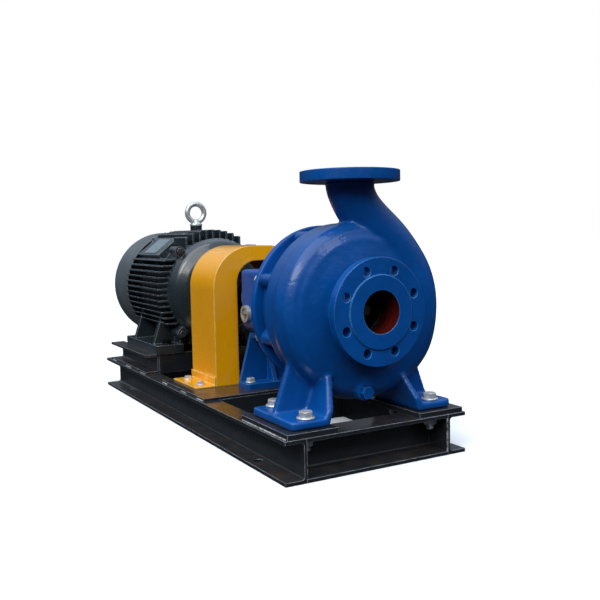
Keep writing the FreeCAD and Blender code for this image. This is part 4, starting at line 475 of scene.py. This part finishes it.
def clad(names: Iterable[str], finish: Finish) -> None:
    """Gives CAD nodes a finish."""
    for name in names:
        node = frame["nodes"][name]
        node.data.materials.clear()
        node.data.materials.append(finish.material())
        LOG.info("%s: %s", name, finish.name)


def piece_from(mesh: bmesh.types.BMesh, name: str, finish: Finish, body: str = "base",
               smooth: bool = True, crease_degrees: float = 35.0) -> bpy.types.Object:
    """Turns a bmesh into a piece that rides on a body.

    Args:
        mesh: the finished mesh, in place.
        name: piece name.
        finish: its finish.
        body: the body that it rides on.
        smooth: whether faces are shaded smooth between creases.
        crease_degrees: edges sharper than this stay crisp.

    Returns:
        The new object.
    """
    data = bpy.data.meshes.new(name)
    mesh.to_mesh(data)
    mesh.free()
    data.materials.append(finish.material())
    stale = data.attributes.get("custom_normal")
    if stale:
        data.attributes.remove(stale)
    made = bpy.data.objects.new(name, data)
    bpy.context.scene.collection.objects.link(made)
    if smooth:
        data.shade_smooth()
        data.set_sharp_from_angle(angle=math.radians(crease_degrees))
    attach(made, body)
    LOG.info("%s: %d faces, %s", name, len(data.polygons), finish.name)
    return made


def merged_copy(node: str) -> bmesh.types.BMesh:
    """A CAD node's mesh with its doubled vertices joined."""
    mesh = bmesh.new()
    mesh.from_mesh(frame["nodes"][node].data)
    bmesh.ops.remove_doubles(mesh, verts=mesh.verts, dist=0.02 * MM)
    return mesh


def cast_skin(node: str, voxel_mm: float, rounds: int) -> bmesh.types.BMesh:
    """A casting's own skin: the node remeshed evenly and eased, so that its joints run into each other.

    Args:
        node: CAD node to start from.
        voxel_mm: mesh size.
        rounds: how often the skin is eased.

    Returns:
        The eased mesh.
    """
    source = merged_copy(node)
    data = bpy.data.meshes.new(node + "_source")
    source.to_mesh(data)
    source.free()
    rough = bpy.data.objects.new(node + "_source", data)
    bpy.context.scene.collection.objects.link(rough)
    remesh = rough.modifiers.new("skin", "REMESH")
    remesh.mode = "VOXEL"
    remesh.voxel_size = voxel_mm * MM
    bpy.context.view_layer.update()
    graph = bpy.context.evaluated_depsgraph_get()
    skin = bpy.data.meshes.new_from_object(rough.evaluated_get(graph))
    bpy.data.objects.remove(rough)
    eased = bmesh.new()
    eased.from_mesh(skin)
    bpy.data.meshes.remove(skin)
    for _ in range(rounds):
        bmesh.ops.smooth_vert(eased, verts=eased.verts, factor=0.5, use_axis_x=True, use_axis_y=True,
                              use_axis_z=True)
    return eased


def cut_off(mesh: bmesh.types.BMesh, place: tuple[float, float, float], outwards: tuple[float, float, float],
            within: float = math.inf) -> None:
    """Cuts away what lies beyond a plane.

    Args:
        mesh: mesh to cut.
        place: a point of the plane.
        outwards: the side that goes.
        within: only what lies this near to the shaft is cut.
    """
    faces = [f for f in mesh.faces if all(math.hypot(v.co.x, v.co.z - SHAFT_Z) < within for v in f.verts)]
    edges = {edge for face in faces for edge in face.edges}
    verts = {vert for face in faces for vert in face.verts}
    bmesh.ops.bisect_plane(mesh, geom=faces + list(edges) + list(verts), plane_co=place, plane_no=outwards,
                           clear_outer=True)


def close_cuts(mesh: bmesh.types.BMesh) -> None:
    """Fills the rings that cuts left open."""
    rim = [edge for edge in mesh.edges if edge.is_boundary]
    bmesh.ops.triangle_fill(mesh, edges=rim, use_beauty=True)
    bmesh.ops.recalc_face_normals(mesh, faces=mesh.faces)
    LOG.info("cut closed over %d edges, %d left open", len(rim), sum(edge.is_boundary for edge in mesh.edges))


def islands(node: str) -> list[tuple[Vector, Vector]]:
    """Lowest and highest corners of each separate solid of a CAD node."""
    whole = merged_copy(node)
    left = set(whole.verts)
    found = []
    while left:
        reached = {left.pop()}
        edge = list(reached)
        while edge:
            near = {other for vert in edge for link in vert.link_edges for other in link.verts} & left
            left -= near
            reached |= near
            edge = list(near)
        low = Vector([min(v.co[axis] for v in reached) for axis in range(3)])
        high = Vector([max(v.co[axis] for v in reached) for axis in range(3)])
        found.append((low, high))
    whole.free()
    return found


def add_shape(target: bmesh.types.BMesh, shape: bmesh.types.BMesh, place: Matrix) -> None:
    """Moves a shape into place and joins it to a mesh."""
    bmesh.ops.transform(shape, verts=shape.verts, matrix=place)
    data = bpy.data.meshes.new("shape")
    shape.to_mesh(data)
    shape.free()
    target.from_mesh(data)
    bpy.data.meshes.remove(data)


def turned(profile: list[tuple[float, float]], steps: int = 32) -> bmesh.types.BMesh:
    """A closed shape turned about Z.

    Args:
        profile: radius and height pairs from one end of the axis to the other.
        steps: faces round the shape.

    Returns:
        The new mesh.
    """
    shape = bmesh.new()
    verts = [shape.verts.new((radius, 0.0, height)) for radius, height in profile]
    edges = [shape.edges.new(pair) for pair in zip(verts, verts[1:])]
    bmesh.ops.spin(shape, geom=verts + edges, cent=(0, 0, 0), axis=(0, 0, 1), angle=math.tau, steps=steps,
                   use_merge=True)
    bmesh.ops.remove_doubles(shape, verts=shape.verts, dist=0.001 * MM)
    bmesh.ops.recalc_face_normals(shape, faces=shape.faces)
    return shape


def hexagonal(across: float, height: float, both_ends: bool = False) -> bmesh.types.BMesh:
    """A bolt head or nut: a chamfered turned blank with six flats cut on it.

    Args:
        across: width across flats.
        height: height from the seat.
        both_ends: whether the seat end is chamfered too.

    Returns:
        The new mesh, standing on the origin.
    """
    corner = across * 0.59
    crown = across * 0.475
    slope = (corner - crown) * math.tan(math.radians(30))
    seat = [(crown, 0.0), (corner, slope)] if both_ends else [(corner, 0.0)]
    blank = turned([(0.0, 0.0)] + seat + [(corner, height - slope), (crown, height), (0.0, height)], 48)
    for index in range(6):
        angle = math.radians(60 * index + 30)
        outwards = Vector((math.cos(angle), math.sin(angle), 0.0))
        cut = bmesh.ops.bisect_plane(blank, geom=blank.verts[:] + blank.edges[:] + blank.faces[:],
                                     plane_co=outwards * across / 2, plane_no=outwards, clear_outer=True)
        rim = [item for item in cut["geom_cut"] if isinstance(item, bmesh.types.BMEdge)]
        bmesh.ops.edgeloop_fill(blank, edges=rim)
    bmesh.ops.recalc_face_normals(blank, faces=blank.faces)
    return blank


def washer(radius: float, thickness: float) -> bmesh.types.BMesh:
    """A flat washer with rolled rim edges."""
    round_off = thickness * 0.3
    flat = radius - round_off
    return turned([(0.0, 0.0), (flat, 0.0), (radius, round_off), (radius, thickness - round_off),
                   (flat, thickness), (0.0, thickness)], 40)


def threaded(radius: float, length: float, pitch: float = 1.75 * MM) -> bmesh.types.BMesh:
    """A shank from the origin up, threaded to its chamfered tip."""
    profile = [(0.0, 0.0), (radius, 0.0)]
    turns = int((length - pitch) / pitch)
    for index in range(turns):
        height = length - pitch * (turns - index)
        profile += [(radius, height), (radius * 0.88, height + pitch * 0.5)]
    profile += [(radius * 0.82, length), (0.0, length)]
    return turned(profile, 24)


# Fastener proportions, as shares of the shank radius.
WASHER_RADIUS = 2.1
WASHER_HEIGHT = 0.4
HEX_ACROSS = 3.0
HEAD_HEIGHT = 1.3
NUT_HEIGHT = 1.6
THREAD_END = 1.2


@dataclass(frozen=True)
class Bolting:
    """A CAD node of bolts or studs, made again in the same places with chamfers, washers and threads."""

    node: str
    finish: Finish

    def build(self) -> None:
        """Makes one piece for the node."""
        mesh = bmesh.new()
        for low, high in islands(self.node):
            self.add(mesh, low, high)
        made = piece_from(mesh, self.node + "_detailed", self.finish, crease_degrees=25)
        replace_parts(made, self.node)

    def add(self, mesh: bmesh.types.BMesh, low: Vector, high: Vector) -> None:
        """Adds one fastener that fills the box from low to high."""
        raise NotImplementedError


class UprightBolts(Bolting):
    """Foot bolts with a washer at each end and a nut below."""

    def add(self, mesh: bmesh.types.BMesh, low: Vector, high: Vector) -> None:
        """Adds one bolt, its size taken from its washers."""
        self.add_through(mesh, low, high, (high.x - low.x) / (2 * WASHER_RADIUS))

    def add_through(self, mesh: bmesh.types.BMesh, low: Vector, high: Vector, radius: float) -> None:
        """A bolt with its washer and head above, and a washer, nut and thread end below."""
        middle = (low + high) / 2
        seat = Vector((middle.x, middle.y, high.z - (WASHER_HEIGHT + HEAD_HEIGHT) * radius))
        below = (WASHER_HEIGHT + NUT_HEIGHT + THREAD_END) * radius
        under = Vector((middle.x, middle.y, low.z + below))
        rise = Vector((0.0, 0.0, WASHER_HEIGHT * radius))
        for place, facing in ((seat, Facing.UP), (under, Facing.DOWN)):
            add_shape(mesh, washer(WASHER_RADIUS * radius, WASHER_HEIGHT * radius), facing.at(place))
        head = hexagonal(HEX_ACROSS * radius, HEAD_HEIGHT * radius)
        add_shape(mesh, head, Facing.UP.at(seat + rise))
        nut = hexagonal(HEX_ACROSS * radius, NUT_HEIGHT * radius, True)
        add_shape(mesh, nut, Facing.DOWN.at(under - rise))
        add_shape(mesh, threaded(radius, seat.z - low.z), Facing.DOWN.at(seat))


class SupportBolts(UprightBolts):
    """Bolts of the support foot: through bolts in the plate, and screws up into the bracket."""

    through_radius = 6 * MM
    screw_radius = 4.85 * MM
    screw_across = 16 * MM
    screw_head = 6 * MM

    def add(self, mesh: bmesh.types.BMesh, low: Vector, high: Vector) -> None:
        """Adds a through bolt where the fastener reaches below the plate, and a screw elsewhere."""
        if low.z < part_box("bracket_plate")[0].z:
            self.add_through(mesh, low, high, self.through_radius)
        else:
            self.add_screw(mesh, low, high)

    def add_screw(self, mesh: bmesh.types.BMesh, low: Vector, high: Vector) -> None:
        """A screw let in from below, its head hanging under it."""
        middle = (low + high) / 2
        seat = Vector((middle.x, middle.y, low.z + self.screw_head))
        add_shape(mesh, hexagonal(self.screw_across, self.screw_head), Facing.DOWN.at(seat))
        add_shape(mesh, threaded(self.screw_radius, high.z - seat.z), Facing.UP.at(seat))


@dataclass(frozen=True)
class LevelBolts(Bolting):
    """Cap bolts along the shaft, their heads facing outwards from a middle line."""

    middle_y: float = math.inf

    def add(self, mesh: bmesh.types.BMesh, low: Vector, high: Vector) -> None:
        """Adds one bolt, its head to the front before the middle line and to the rear behind it."""
        middle = (low + high) / 2
        across = min(high.x - low.x, high.z - low.z)
        head = across * HEAD_HEIGHT / HEX_ACROSS
        if middle.y < self.middle_y:
            seat = Vector((middle.x, low.y + head, middle.z))
            facing, back, inner = Facing.FRONT, Facing.REAR, high.y - seat.y
        else:
            seat = Vector((middle.x, high.y - head, middle.z))
            facing, back, inner = Facing.REAR, Facing.FRONT, seat.y - low.y
        add_shape(mesh, hexagonal(across, head), facing.at(seat))
        add_shape(mesh, threaded(across / HEX_ACROSS, inner), back.at(seat))


class Studs(Bolting):
    """Casing studs with a washer and a nut on the bracket flange."""

    stand_out = 16 * MM
    washer_height = 2.5 * MM
    nut_height = 10 * MM
    slack = 0.15 * MM

    def add(self, mesh: bmesh.types.BMesh, low: Vector, high: Vector) -> None:
        """Adds one stud, its nut at the rear end."""
        middle = (low + high) / 2
        radius = (high.x - low.x) / (2 * WASHER_RADIUS)
        seat = Vector((middle.x, high.y - self.stand_out, middle.z))
        rise = Vector((0.0, self.washer_height, 0.0))
        add_shape(mesh, washer(WASHER_RADIUS * radius, self.washer_height), Facing.REAR.at(seat))
        add_shape(mesh, hexagonal(HEX_ACROSS * radius, self.nut_height, True), Facing.REAR.at(seat + rise))
        start = Vector((middle.x, low.y, middle.z))
        add_shape(mesh, threaded(radius - self.slack, high.y - low.y), Facing.REAR.at(start))


@dataclass
class BaseFrame:
    """Channel base: rails, cross members, pads, plate and motor risers, with their welds."""

    bead_mm: float = 5.0
    ripple_mm: float = 2.2
    plate_stitches_mm: tuple[float, ...] = (4, 100, 226)
    plate_stitch_mm: float = 36
    riser_stitches_mm: tuple[float, ...] = (6, 130, 262)
    riser_stitch_mm: float = 40
    nodes: tuple[str, ...] = (
        "left_rail", "right_rail", "front_cross_member", "rear_cross_members", "pump_pads",
        "bracket_plate", "left_motor_riser", "right_motor_riser", "motor_bearers",
    )

    def build(self) -> None:
        """Paints the steel and lays the weld beads."""
        clad(self.nodes, CHANNEL_PAINT)
        beads = bmesh.new()
        for start, end in self.seams():
            self.lay_bead(beads, start, end)
        piece_from(beads, "base_weld_beads", BEAD, crease_degrees=70)

    def seams(self) -> list[tuple[Vector, Vector]]:
        """Seams where pads, plate, risers and front member meet the rails."""
        found = []
        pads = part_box("pump_pads")
        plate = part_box("bracket_plate")
        for side in Side:
            s = side.value
            outer = s * pads[1].x
            z = pads[0].z
            found.append((Vector((outer, pads[0].y + 4 * MM, z)), Vector((outer, pads[1].y - 4 * MM, z))))
            z = plate[0].z
            for start in self.plate_stitches_mm:
                y = plate[0].y + start * MM
                end = y + self.plate_stitch_mm * MM
                found.append((Vector((s * plate[1].x, y, z)), Vector((s * plate[1].x, end, z))))
            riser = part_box("right_motor_riser")
            for start in self.riser_stitches_mm:
                y = riser[0].y + start * MM
                end = y + self.riser_stitch_mm * MM
                found.append((Vector((s * riser[1].x, y, riser[0].z)),
                              Vector((s * riser[1].x, end, riser[0].z))))
            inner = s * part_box("right_rail")[0].x
            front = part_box("front_cross_member")
            found.append((Vector((inner, front[0].y + 2 * MM, front[0].z + 7 * MM)),
                          Vector((inner, front[0].y + 2 * MM, front[1].z - 7 * MM))))
        return found

    def lay_bead(self, mesh: bmesh.types.BMesh, start: Vector, end: Vector) -> None:
        """Lays one rippled bead from start to end.

        Args:
            mesh: mesh to add to.
            start: first end of the seam.
            end: last end of the seam.
        """
        along = end - start
        steps = max(3, round(along.length / (self.ripple_mm * MM)) * 2)
        turn = along.normalized().to_track_quat("Z", "X").to_matrix().to_4x4()
        radius = self.bead_mm * MM * 0.35
        ring = bmesh.ops.create_circle(mesh, cap_ends=True, segments=10, radius=radius)["verts"]
        bmesh.ops.transform(mesh, verts=ring, matrix=Matrix.Translation(start) @ turn)
        face = next(f for f in ring[0].link_faces)
        for step in range(steps):
            grown = bmesh.ops.extrude_discrete_faces(mesh, faces=[face])["faces"]
            face = grown[0]
            centre = face.calc_center_median()
            swell = 1.25 if step % 2 == 0 else 0.8
            if step == steps - 1:
                swell = 0.5
            bmesh.ops.scale(mesh, verts=face.verts, vec=Vector((swell, swell, swell)),
                            space=Matrix.Translation(-centre))
            bmesh.ops.translate(mesh, verts=face.verts, vec=along / steps)
        bmesh.ops.recalc_face_normals(mesh, faces=mesh.faces)


@dataclass
class PumpCasing:
    """Volute casing with its plugs, cover, gasket, studs and wear ring."""

    voxel_mm: float = 3.3
    rounds: int = 3
    suction_cut_mm: float = 20.4
    discharge_cut_mm: float = 236.4
    lap_mm: float = 0.4
    reach: float = 120 * MM

    def build(self) -> None:
        """Skins the casting and clads what is bolted or sealed in it."""
        self.casting()
        clad(["casing_plugs"], BRACKET_ENAMEL)
        clad(["casing_cover"], PUMP_ENAMEL)
        clad(["casing_gasket"], RUBBER)
        clad(["casing_wear_ring"], BRONZE)
        Studs("casing_studs", ZINC).build()

    def casting(self) -> None:
        """One mesh: an eased cast skin with crisp machined flanges let into its two ends."""
        suction = behind(self.suction_cut_mm)
        discharge = SHAFT_Z + self.discharge_cut_mm * MM
        skin = cast_skin("volute_casing", self.voxel_mm, self.rounds)
        cut_off(skin, (0.0, suction, SHAFT_Z), (0.0, -1.0, 0.0), within=self.reach)
        cut_off(skin, (0.0, 0.0, discharge), (0.0, 0.0, 1.0))
        close_cuts(skin)
        for flange in (self.suction_flange(suction), self.discharge_flange(discharge)):
            close_cuts(flange)
            add_shape(skin, flange, Matrix.Identity(4))
        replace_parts(piece_from(skin, "volute_casting", PUMP_ENAMEL, crease_degrees=40), "volute_casing")

    def suction_flange(self, cut_y: float) -> bmesh.types.BMesh:
        """The suction flange as machined."""
        flange = merged_copy("volute_casing")
        cut_off(flange, (0.0, cut_y + self.lap_mm * MM, 0.0), (0.0, 1.0, 0.0))
        for side in Side:
            s = side.value
            cut_off(flange, (s * self.reach, 0.0, 0.0), (s, 0.0, 0.0))
            cut_off(flange, (0.0, 0.0, SHAFT_Z + s * self.reach), (0.0, 0.0, s))
        return flange

    def discharge_flange(self, cut_z: float) -> bmesh.types.BMesh:
        """The discharge flange as machined."""
        flange = merged_copy("volute_casing")
        cut_off(flange, (0.0, 0.0, cut_z - self.lap_mm * MM), (0.0, 0.0, -1.0))
        return flange


@dataclass
class BearingBracket:
    """Bearing bracket with covers, oil fittings and support foot."""

    voxel_mm: float = 2.6
    rounds: int = 2

    def build(self) -> None:
        """Skins the bracket and clads its fittings."""
        skin = cast_skin("bearing_bracket", self.voxel_mm, self.rounds)
        casting = piece_from(skin, "bracket_casting", BRACKET_ENAMEL, crease_degrees=60)
        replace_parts(casting, "bearing_bracket")
        clad(["bearing_covers", "support_foot"], BRACKET_ENAMEL)
        clad(["sight_glass_rim"], DIE_CAST)
        clad(["oil_plugs"], ZINC)
        LevelBolts("bearing_cover_bolts", ZINC, middle_y=behind(374)).build()
        SupportBolts("support_foot_bolts", ZINC).build()
        UprightBolts("pump_foot_bolts", ZINC).build()
        clad(["sight_glass_pane"], PANE)
        clad(["seal_seat"], CARBON)
        clad(["pump_bearing_outer_rings"], GROUND_STEEL)


@dataclass
class PumpRotor:
    """Everything that turns with the pump shaft."""

    def build(self) -> None:
        """Clads the shaft, impeller, seal and coupling."""
        clad(["pump_shaft", "pump_keys", "shaft_sleeve"], GROUND_STEEL)
        clad(["seal_head", "pump_bearing_inner_rings"], GROUND_STEEL)
        clad(["impeller", "impeller_nut", "pump_coupling_half"], CAST_IRON)
        clad(["coupling_spider", "water_deflector"], RUBBER)


@dataclass
class CouplingGuard:
    """Yellow sheet guard over the coupling with its feet."""

    def build(self) -> None:
        """Paints the guard, its feet and their bolts."""
        clad(["coupling_guard", "guard_feet"], GUARD_ENAMEL)
        UprightBolts("guard_bolts", ZINC).build()


@dataclass
class Motor:
    """Finned motor with its shields, cowl, terminal box and lifting eye."""

    plate_width: float = 58 * MM
    plate_thickness: float = 1.2 * MM
    plate_corner: float = 5 * MM
    rivet_inset: float = 5 * MM
    plate_degrees: float = 129.0
    plate_seat: float = 151 * MM

    def build(self) -> None:
        """Paints the castings and clads the rest."""
        clad(["motor_frame", "drive_end_shield", "rear_shield"], MOTOR_ENAMEL)
        clad(["terminal_box", "terminal_box_lid"], MOTOR_ENAMEL)
        clad(["fan_cowl"], COWL_ENAMEL)
        clad(["eye_bolt"], ZINC)
        LevelBolts("shield_bolts", MOTOR_ENAMEL).build()
        UprightBolts("motor_foot_bolts", BLACK_OXIDE).build()
        self.plate()
        clad(["cable_gland"], NYLON)
        clad(["stator_core", "rotor_core"], SHEET_STACK)
        clad(["stator_windings"], COPPER_WIRE)
        clad(["motor_shaft", "motor_key"], GROUND_STEEL)
        clad(["motor_bearing_outer_rings", "motor_bearing_inner_rings"], GROUND_STEEL)
        clad(["motor_coupling_half"], CAST_IRON)
        clad(["cooling_fan"], DIE_CAST)

    def plate(self) -> None:
        """Bare nameplate with rounded corners and four domed rivets, on its slanted flat."""
        low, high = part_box("nameplate")
        length = high.y - low.y
        plate = bmesh.new()
        bmesh.ops.create_cube(plate, size=1.0)
        size = Vector((self.plate_width, length, self.plate_thickness))
        bmesh.ops.scale(plate, verts=plate.verts, vec=size)
        bmesh.ops.translate(plate, verts=plate.verts, vec=Vector((0.0, 0.0, self.plate_thickness / 2)))
        upright = [edge for edge in plate.edges if abs(edge.verts[0].co.z - edge.verts[1].co.z) > 0.5 * MM]
        bmesh.ops.bevel(plate, geom=upright, offset=self.plate_corner, segments=5, profile=0.5,
                        affect="EDGES", material=-1)
        dome = [(0.0, 0.0), (1.9 * MM, 0.0), (1.75 * MM, 0.45 * MM), (1.2 * MM, 0.85 * MM), (0.0, 1.05 * MM)]
        for side in Side:
            for end in Side:
                x = side.value * (self.plate_width / 2 - self.rivet_inset)
                y = end.value * (length / 2 - self.rivet_inset)
                spot = Vector((x, y, self.plate_thickness))
                add_shape(plate, turned(dome, 20), Matrix.Translation(spot))
        angle = math.radians(self.plate_degrees)
        outwards = Vector((math.cos(angle), 0.0, math.sin(angle)))
        across = Vector((outwards.z, 0.0, -outwards.x))
        turn = Matrix((across, Vector((0.0, 1.0, 0.0)), outwards)).transposed().to_4x4()
        seat = Vector((0.0, (low.y + high.y) / 2, SHAFT_Z)) + outwards * self.plate_seat
        bmesh.ops.transform(plate, verts=plate.verts, matrix=Matrix.Translation(seat) @ turn)
        made = piece_from(plate, "nameplate_riveted", PLATE, crease_degrees=30)
        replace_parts(made, "nameplate")


@dataclass(frozen=True)
class Softbox:
    """A square soft light that hangs at a place and points at an aim; size in metres, power in watts."""

    name: str
    place: tuple[float, float, float]
    aim: tuple[float, float, float]
    size: float
    power: float
    colour: str

    def hang(self) -> None:
        """Adds the light to the scene."""
        light = bpy.data.lights.new(self.name, "AREA")
        light.size = self.size
        light.energy = self.power
        light.color = linear(self.colour)[:3]
        lamp = bpy.data.objects.new(self.name, light)
        lamp.location = self.place
        lamp.rotation_euler = (Vector(self.aim) - Vector(self.place)).to_track_quat("-Z", "Y").to_euler()
        bpy.context.scene.collection.objects.link(lamp)


@dataclass
class Studio:
    """Pale floor, soft lights and the camera at the photographed angle."""

    lens_mm: float = 46.03
    eye: tuple[float, float, float] = (-0.8045, -1.6887, 0.4339)
    yaw: float = 0.513
    pitch: float = 0.086
    roll: float = -0.020
    floor_size: float = 60.0
    horizon: float = 0.04
    zenith: float = 1.15
    sun_strength: float = 2.2
    sun_angle: float = 70.0
    softboxes: tuple[Softbox, ...] = (
        Softbox("key_softbox", (-2.3, -2.0, 2.3), (0.0, -0.2, 0.3), 1.3, 34.0, "#FFFDF8"),
        Softbox("front_softbox", (0.6, -3.2, 2.4), (0.0, -0.4, 0.3), 1.0, 14.0, "#F6FAFF"),
    )

    def build(self) -> None:
        """Lays the floor, hangs the lights and sets up the camera."""
        self.floor()
        self.sky()
        self.sun()
        for softbox in self.softboxes:
            softbox.hang()
        self.camera()

    def floor(self) -> None:
        """A wide pale floor with a faint mottle."""
        mesh = bmesh.new()
        bmesh.ops.create_grid(mesh, x_segments=1, y_segments=1, size=self.floor_size / 2)
        data = bpy.data.meshes.new("studio_floor")
        mesh.to_mesh(data)
        mesh.free()
        material = bpy.data.materials.new("matt white studio floor")
        material.use_nodes = True
        tree = material.node_tree
        tree.nodes.clear()
        place = add_node(tree, "ShaderNodeTexCoord").outputs["Object"]
        mottle = add_node(tree, "ShaderNodeTexNoise", {"Vector": place, "Scale": 2.0}).outputs["Fac"]
        tone = add_node(tree, "ShaderNodeMix", {"Factor": mottle, 6: linear("#F8F8F8"), 7: linear("#FBFBFB")},
                        data_type="RGBA").outputs[2]
        shader = add_node(tree, "ShaderNodeBsdfPrincipled", {"Base Color": tone, "Roughness": 0.9})
        add_node(tree, "ShaderNodeOutputMaterial", {"Surface": shader.outputs["BSDF"]})
        data.materials.append(material)
        floor = bpy.data.objects.new("studio_floor", data)
        bpy.context.scene.collection.objects.link(floor)
        floor.visible_diffuse = False
        floor.visible_glossy = False

    def sky(self) -> None:
        """Surroundings that are white to the camera, bright overhead and dark about the horizon."""
        world = bpy.data.worlds.new("studio_surroundings")
        bpy.context.scene.world = world
        world.use_nodes = True
        tree = world.node_tree
        tree.nodes.clear()
        height = add_node(tree, "ShaderNodeSeparateXYZ", {
            0: add_node(tree, "ShaderNodeTexCoord").outputs["Generated"]}).outputs["Z"]
        rise = add_node(tree, "ShaderNodeMapRange", {
            "Value": height, "From Min": 0.12, "From Max": 0.9, "To Min": self.horizon, "To Max": self.zenith,
        }, clamp=True).outputs["Result"]
        seen = add_node(tree, "ShaderNodeLightPath").outputs["Is Camera Ray"]
        strength = add_node(tree, "ShaderNodeMix", {"Factor": seen, 2: rise, 3: 1.0}).outputs[0]
        tone = add_node(tree, "ShaderNodeMix", {"Factor": seen, 6: linear("#DCEBFF"), 7: linear("#FFFFFF")},
                        data_type="RGBA").outputs[2]
        light = add_node(tree, "ShaderNodeBackground", {"Color": tone, "Strength": strength})
        add_node(tree, "ShaderNodeOutputWorld", {"Surface": light.outputs["Background"]})
        bpy.context.scene.view_settings.view_transform = "Standard"

    def sun(self) -> None:
        """One very wide soft light that whitens the floor."""
        light = bpy.data.lights.new("overhead_diffuser", "SUN")
        light.energy = self.sun_strength
        light.angle = math.radians(self.sun_angle)
        lamp = bpy.data.objects.new("overhead_diffuser", light)
        lamp.rotation_euler = Vector((0.5, 0.35, -1.0)).to_track_quat("-Z", "Y").to_euler()
        bpy.context.scene.collection.objects.link(lamp)

    def camera(self) -> None:
        """Camera at the photographed place, turned by yaw, pitch and roll."""
        ahead = Vector((math.sin(self.yaw) * math.cos(self.pitch), math.cos(self.yaw) * math.cos(self.pitch),
                        -math.sin(self.pitch)))
        level = Vector((math.cos(self.yaw), -math.sin(self.yaw), 0.0))
        upright = level.cross(ahead)
        right = level * math.cos(self.roll) + upright * math.sin(self.roll)
        up = upright * math.cos(self.roll) - level * math.sin(self.roll)
        lens = bpy.data.cameras.new("photo_camera")
        lens.lens = self.lens_mm
        lens.sensor_width = 36.0
        lens.sensor_fit = "HORIZONTAL"
        lens.clip_end = 200.0
        camera = bpy.data.objects.new("photo_camera", lens)
        turn = Matrix((right, up, -ahead)).transposed()
        camera.matrix_world = Matrix.Translation(Vector(self.eye)) @ turn.to_4x4()
        bpy.context.scene.collection.objects.link(camera)
        bpy.context.scene.camera = camera


def main() -> None:
    """Builds every sub-assembly."""
    logging.basicConfig(level=logging.INFO, format="%(name)s: %(message)s")
    parts = (Studio(), BaseFrame(), PumpCasing(), BearingBracket(), PumpRotor(), CouplingGuard(), Motor())
    for part in parts:
        part.build()


if __name__ == "__main__":
    main()
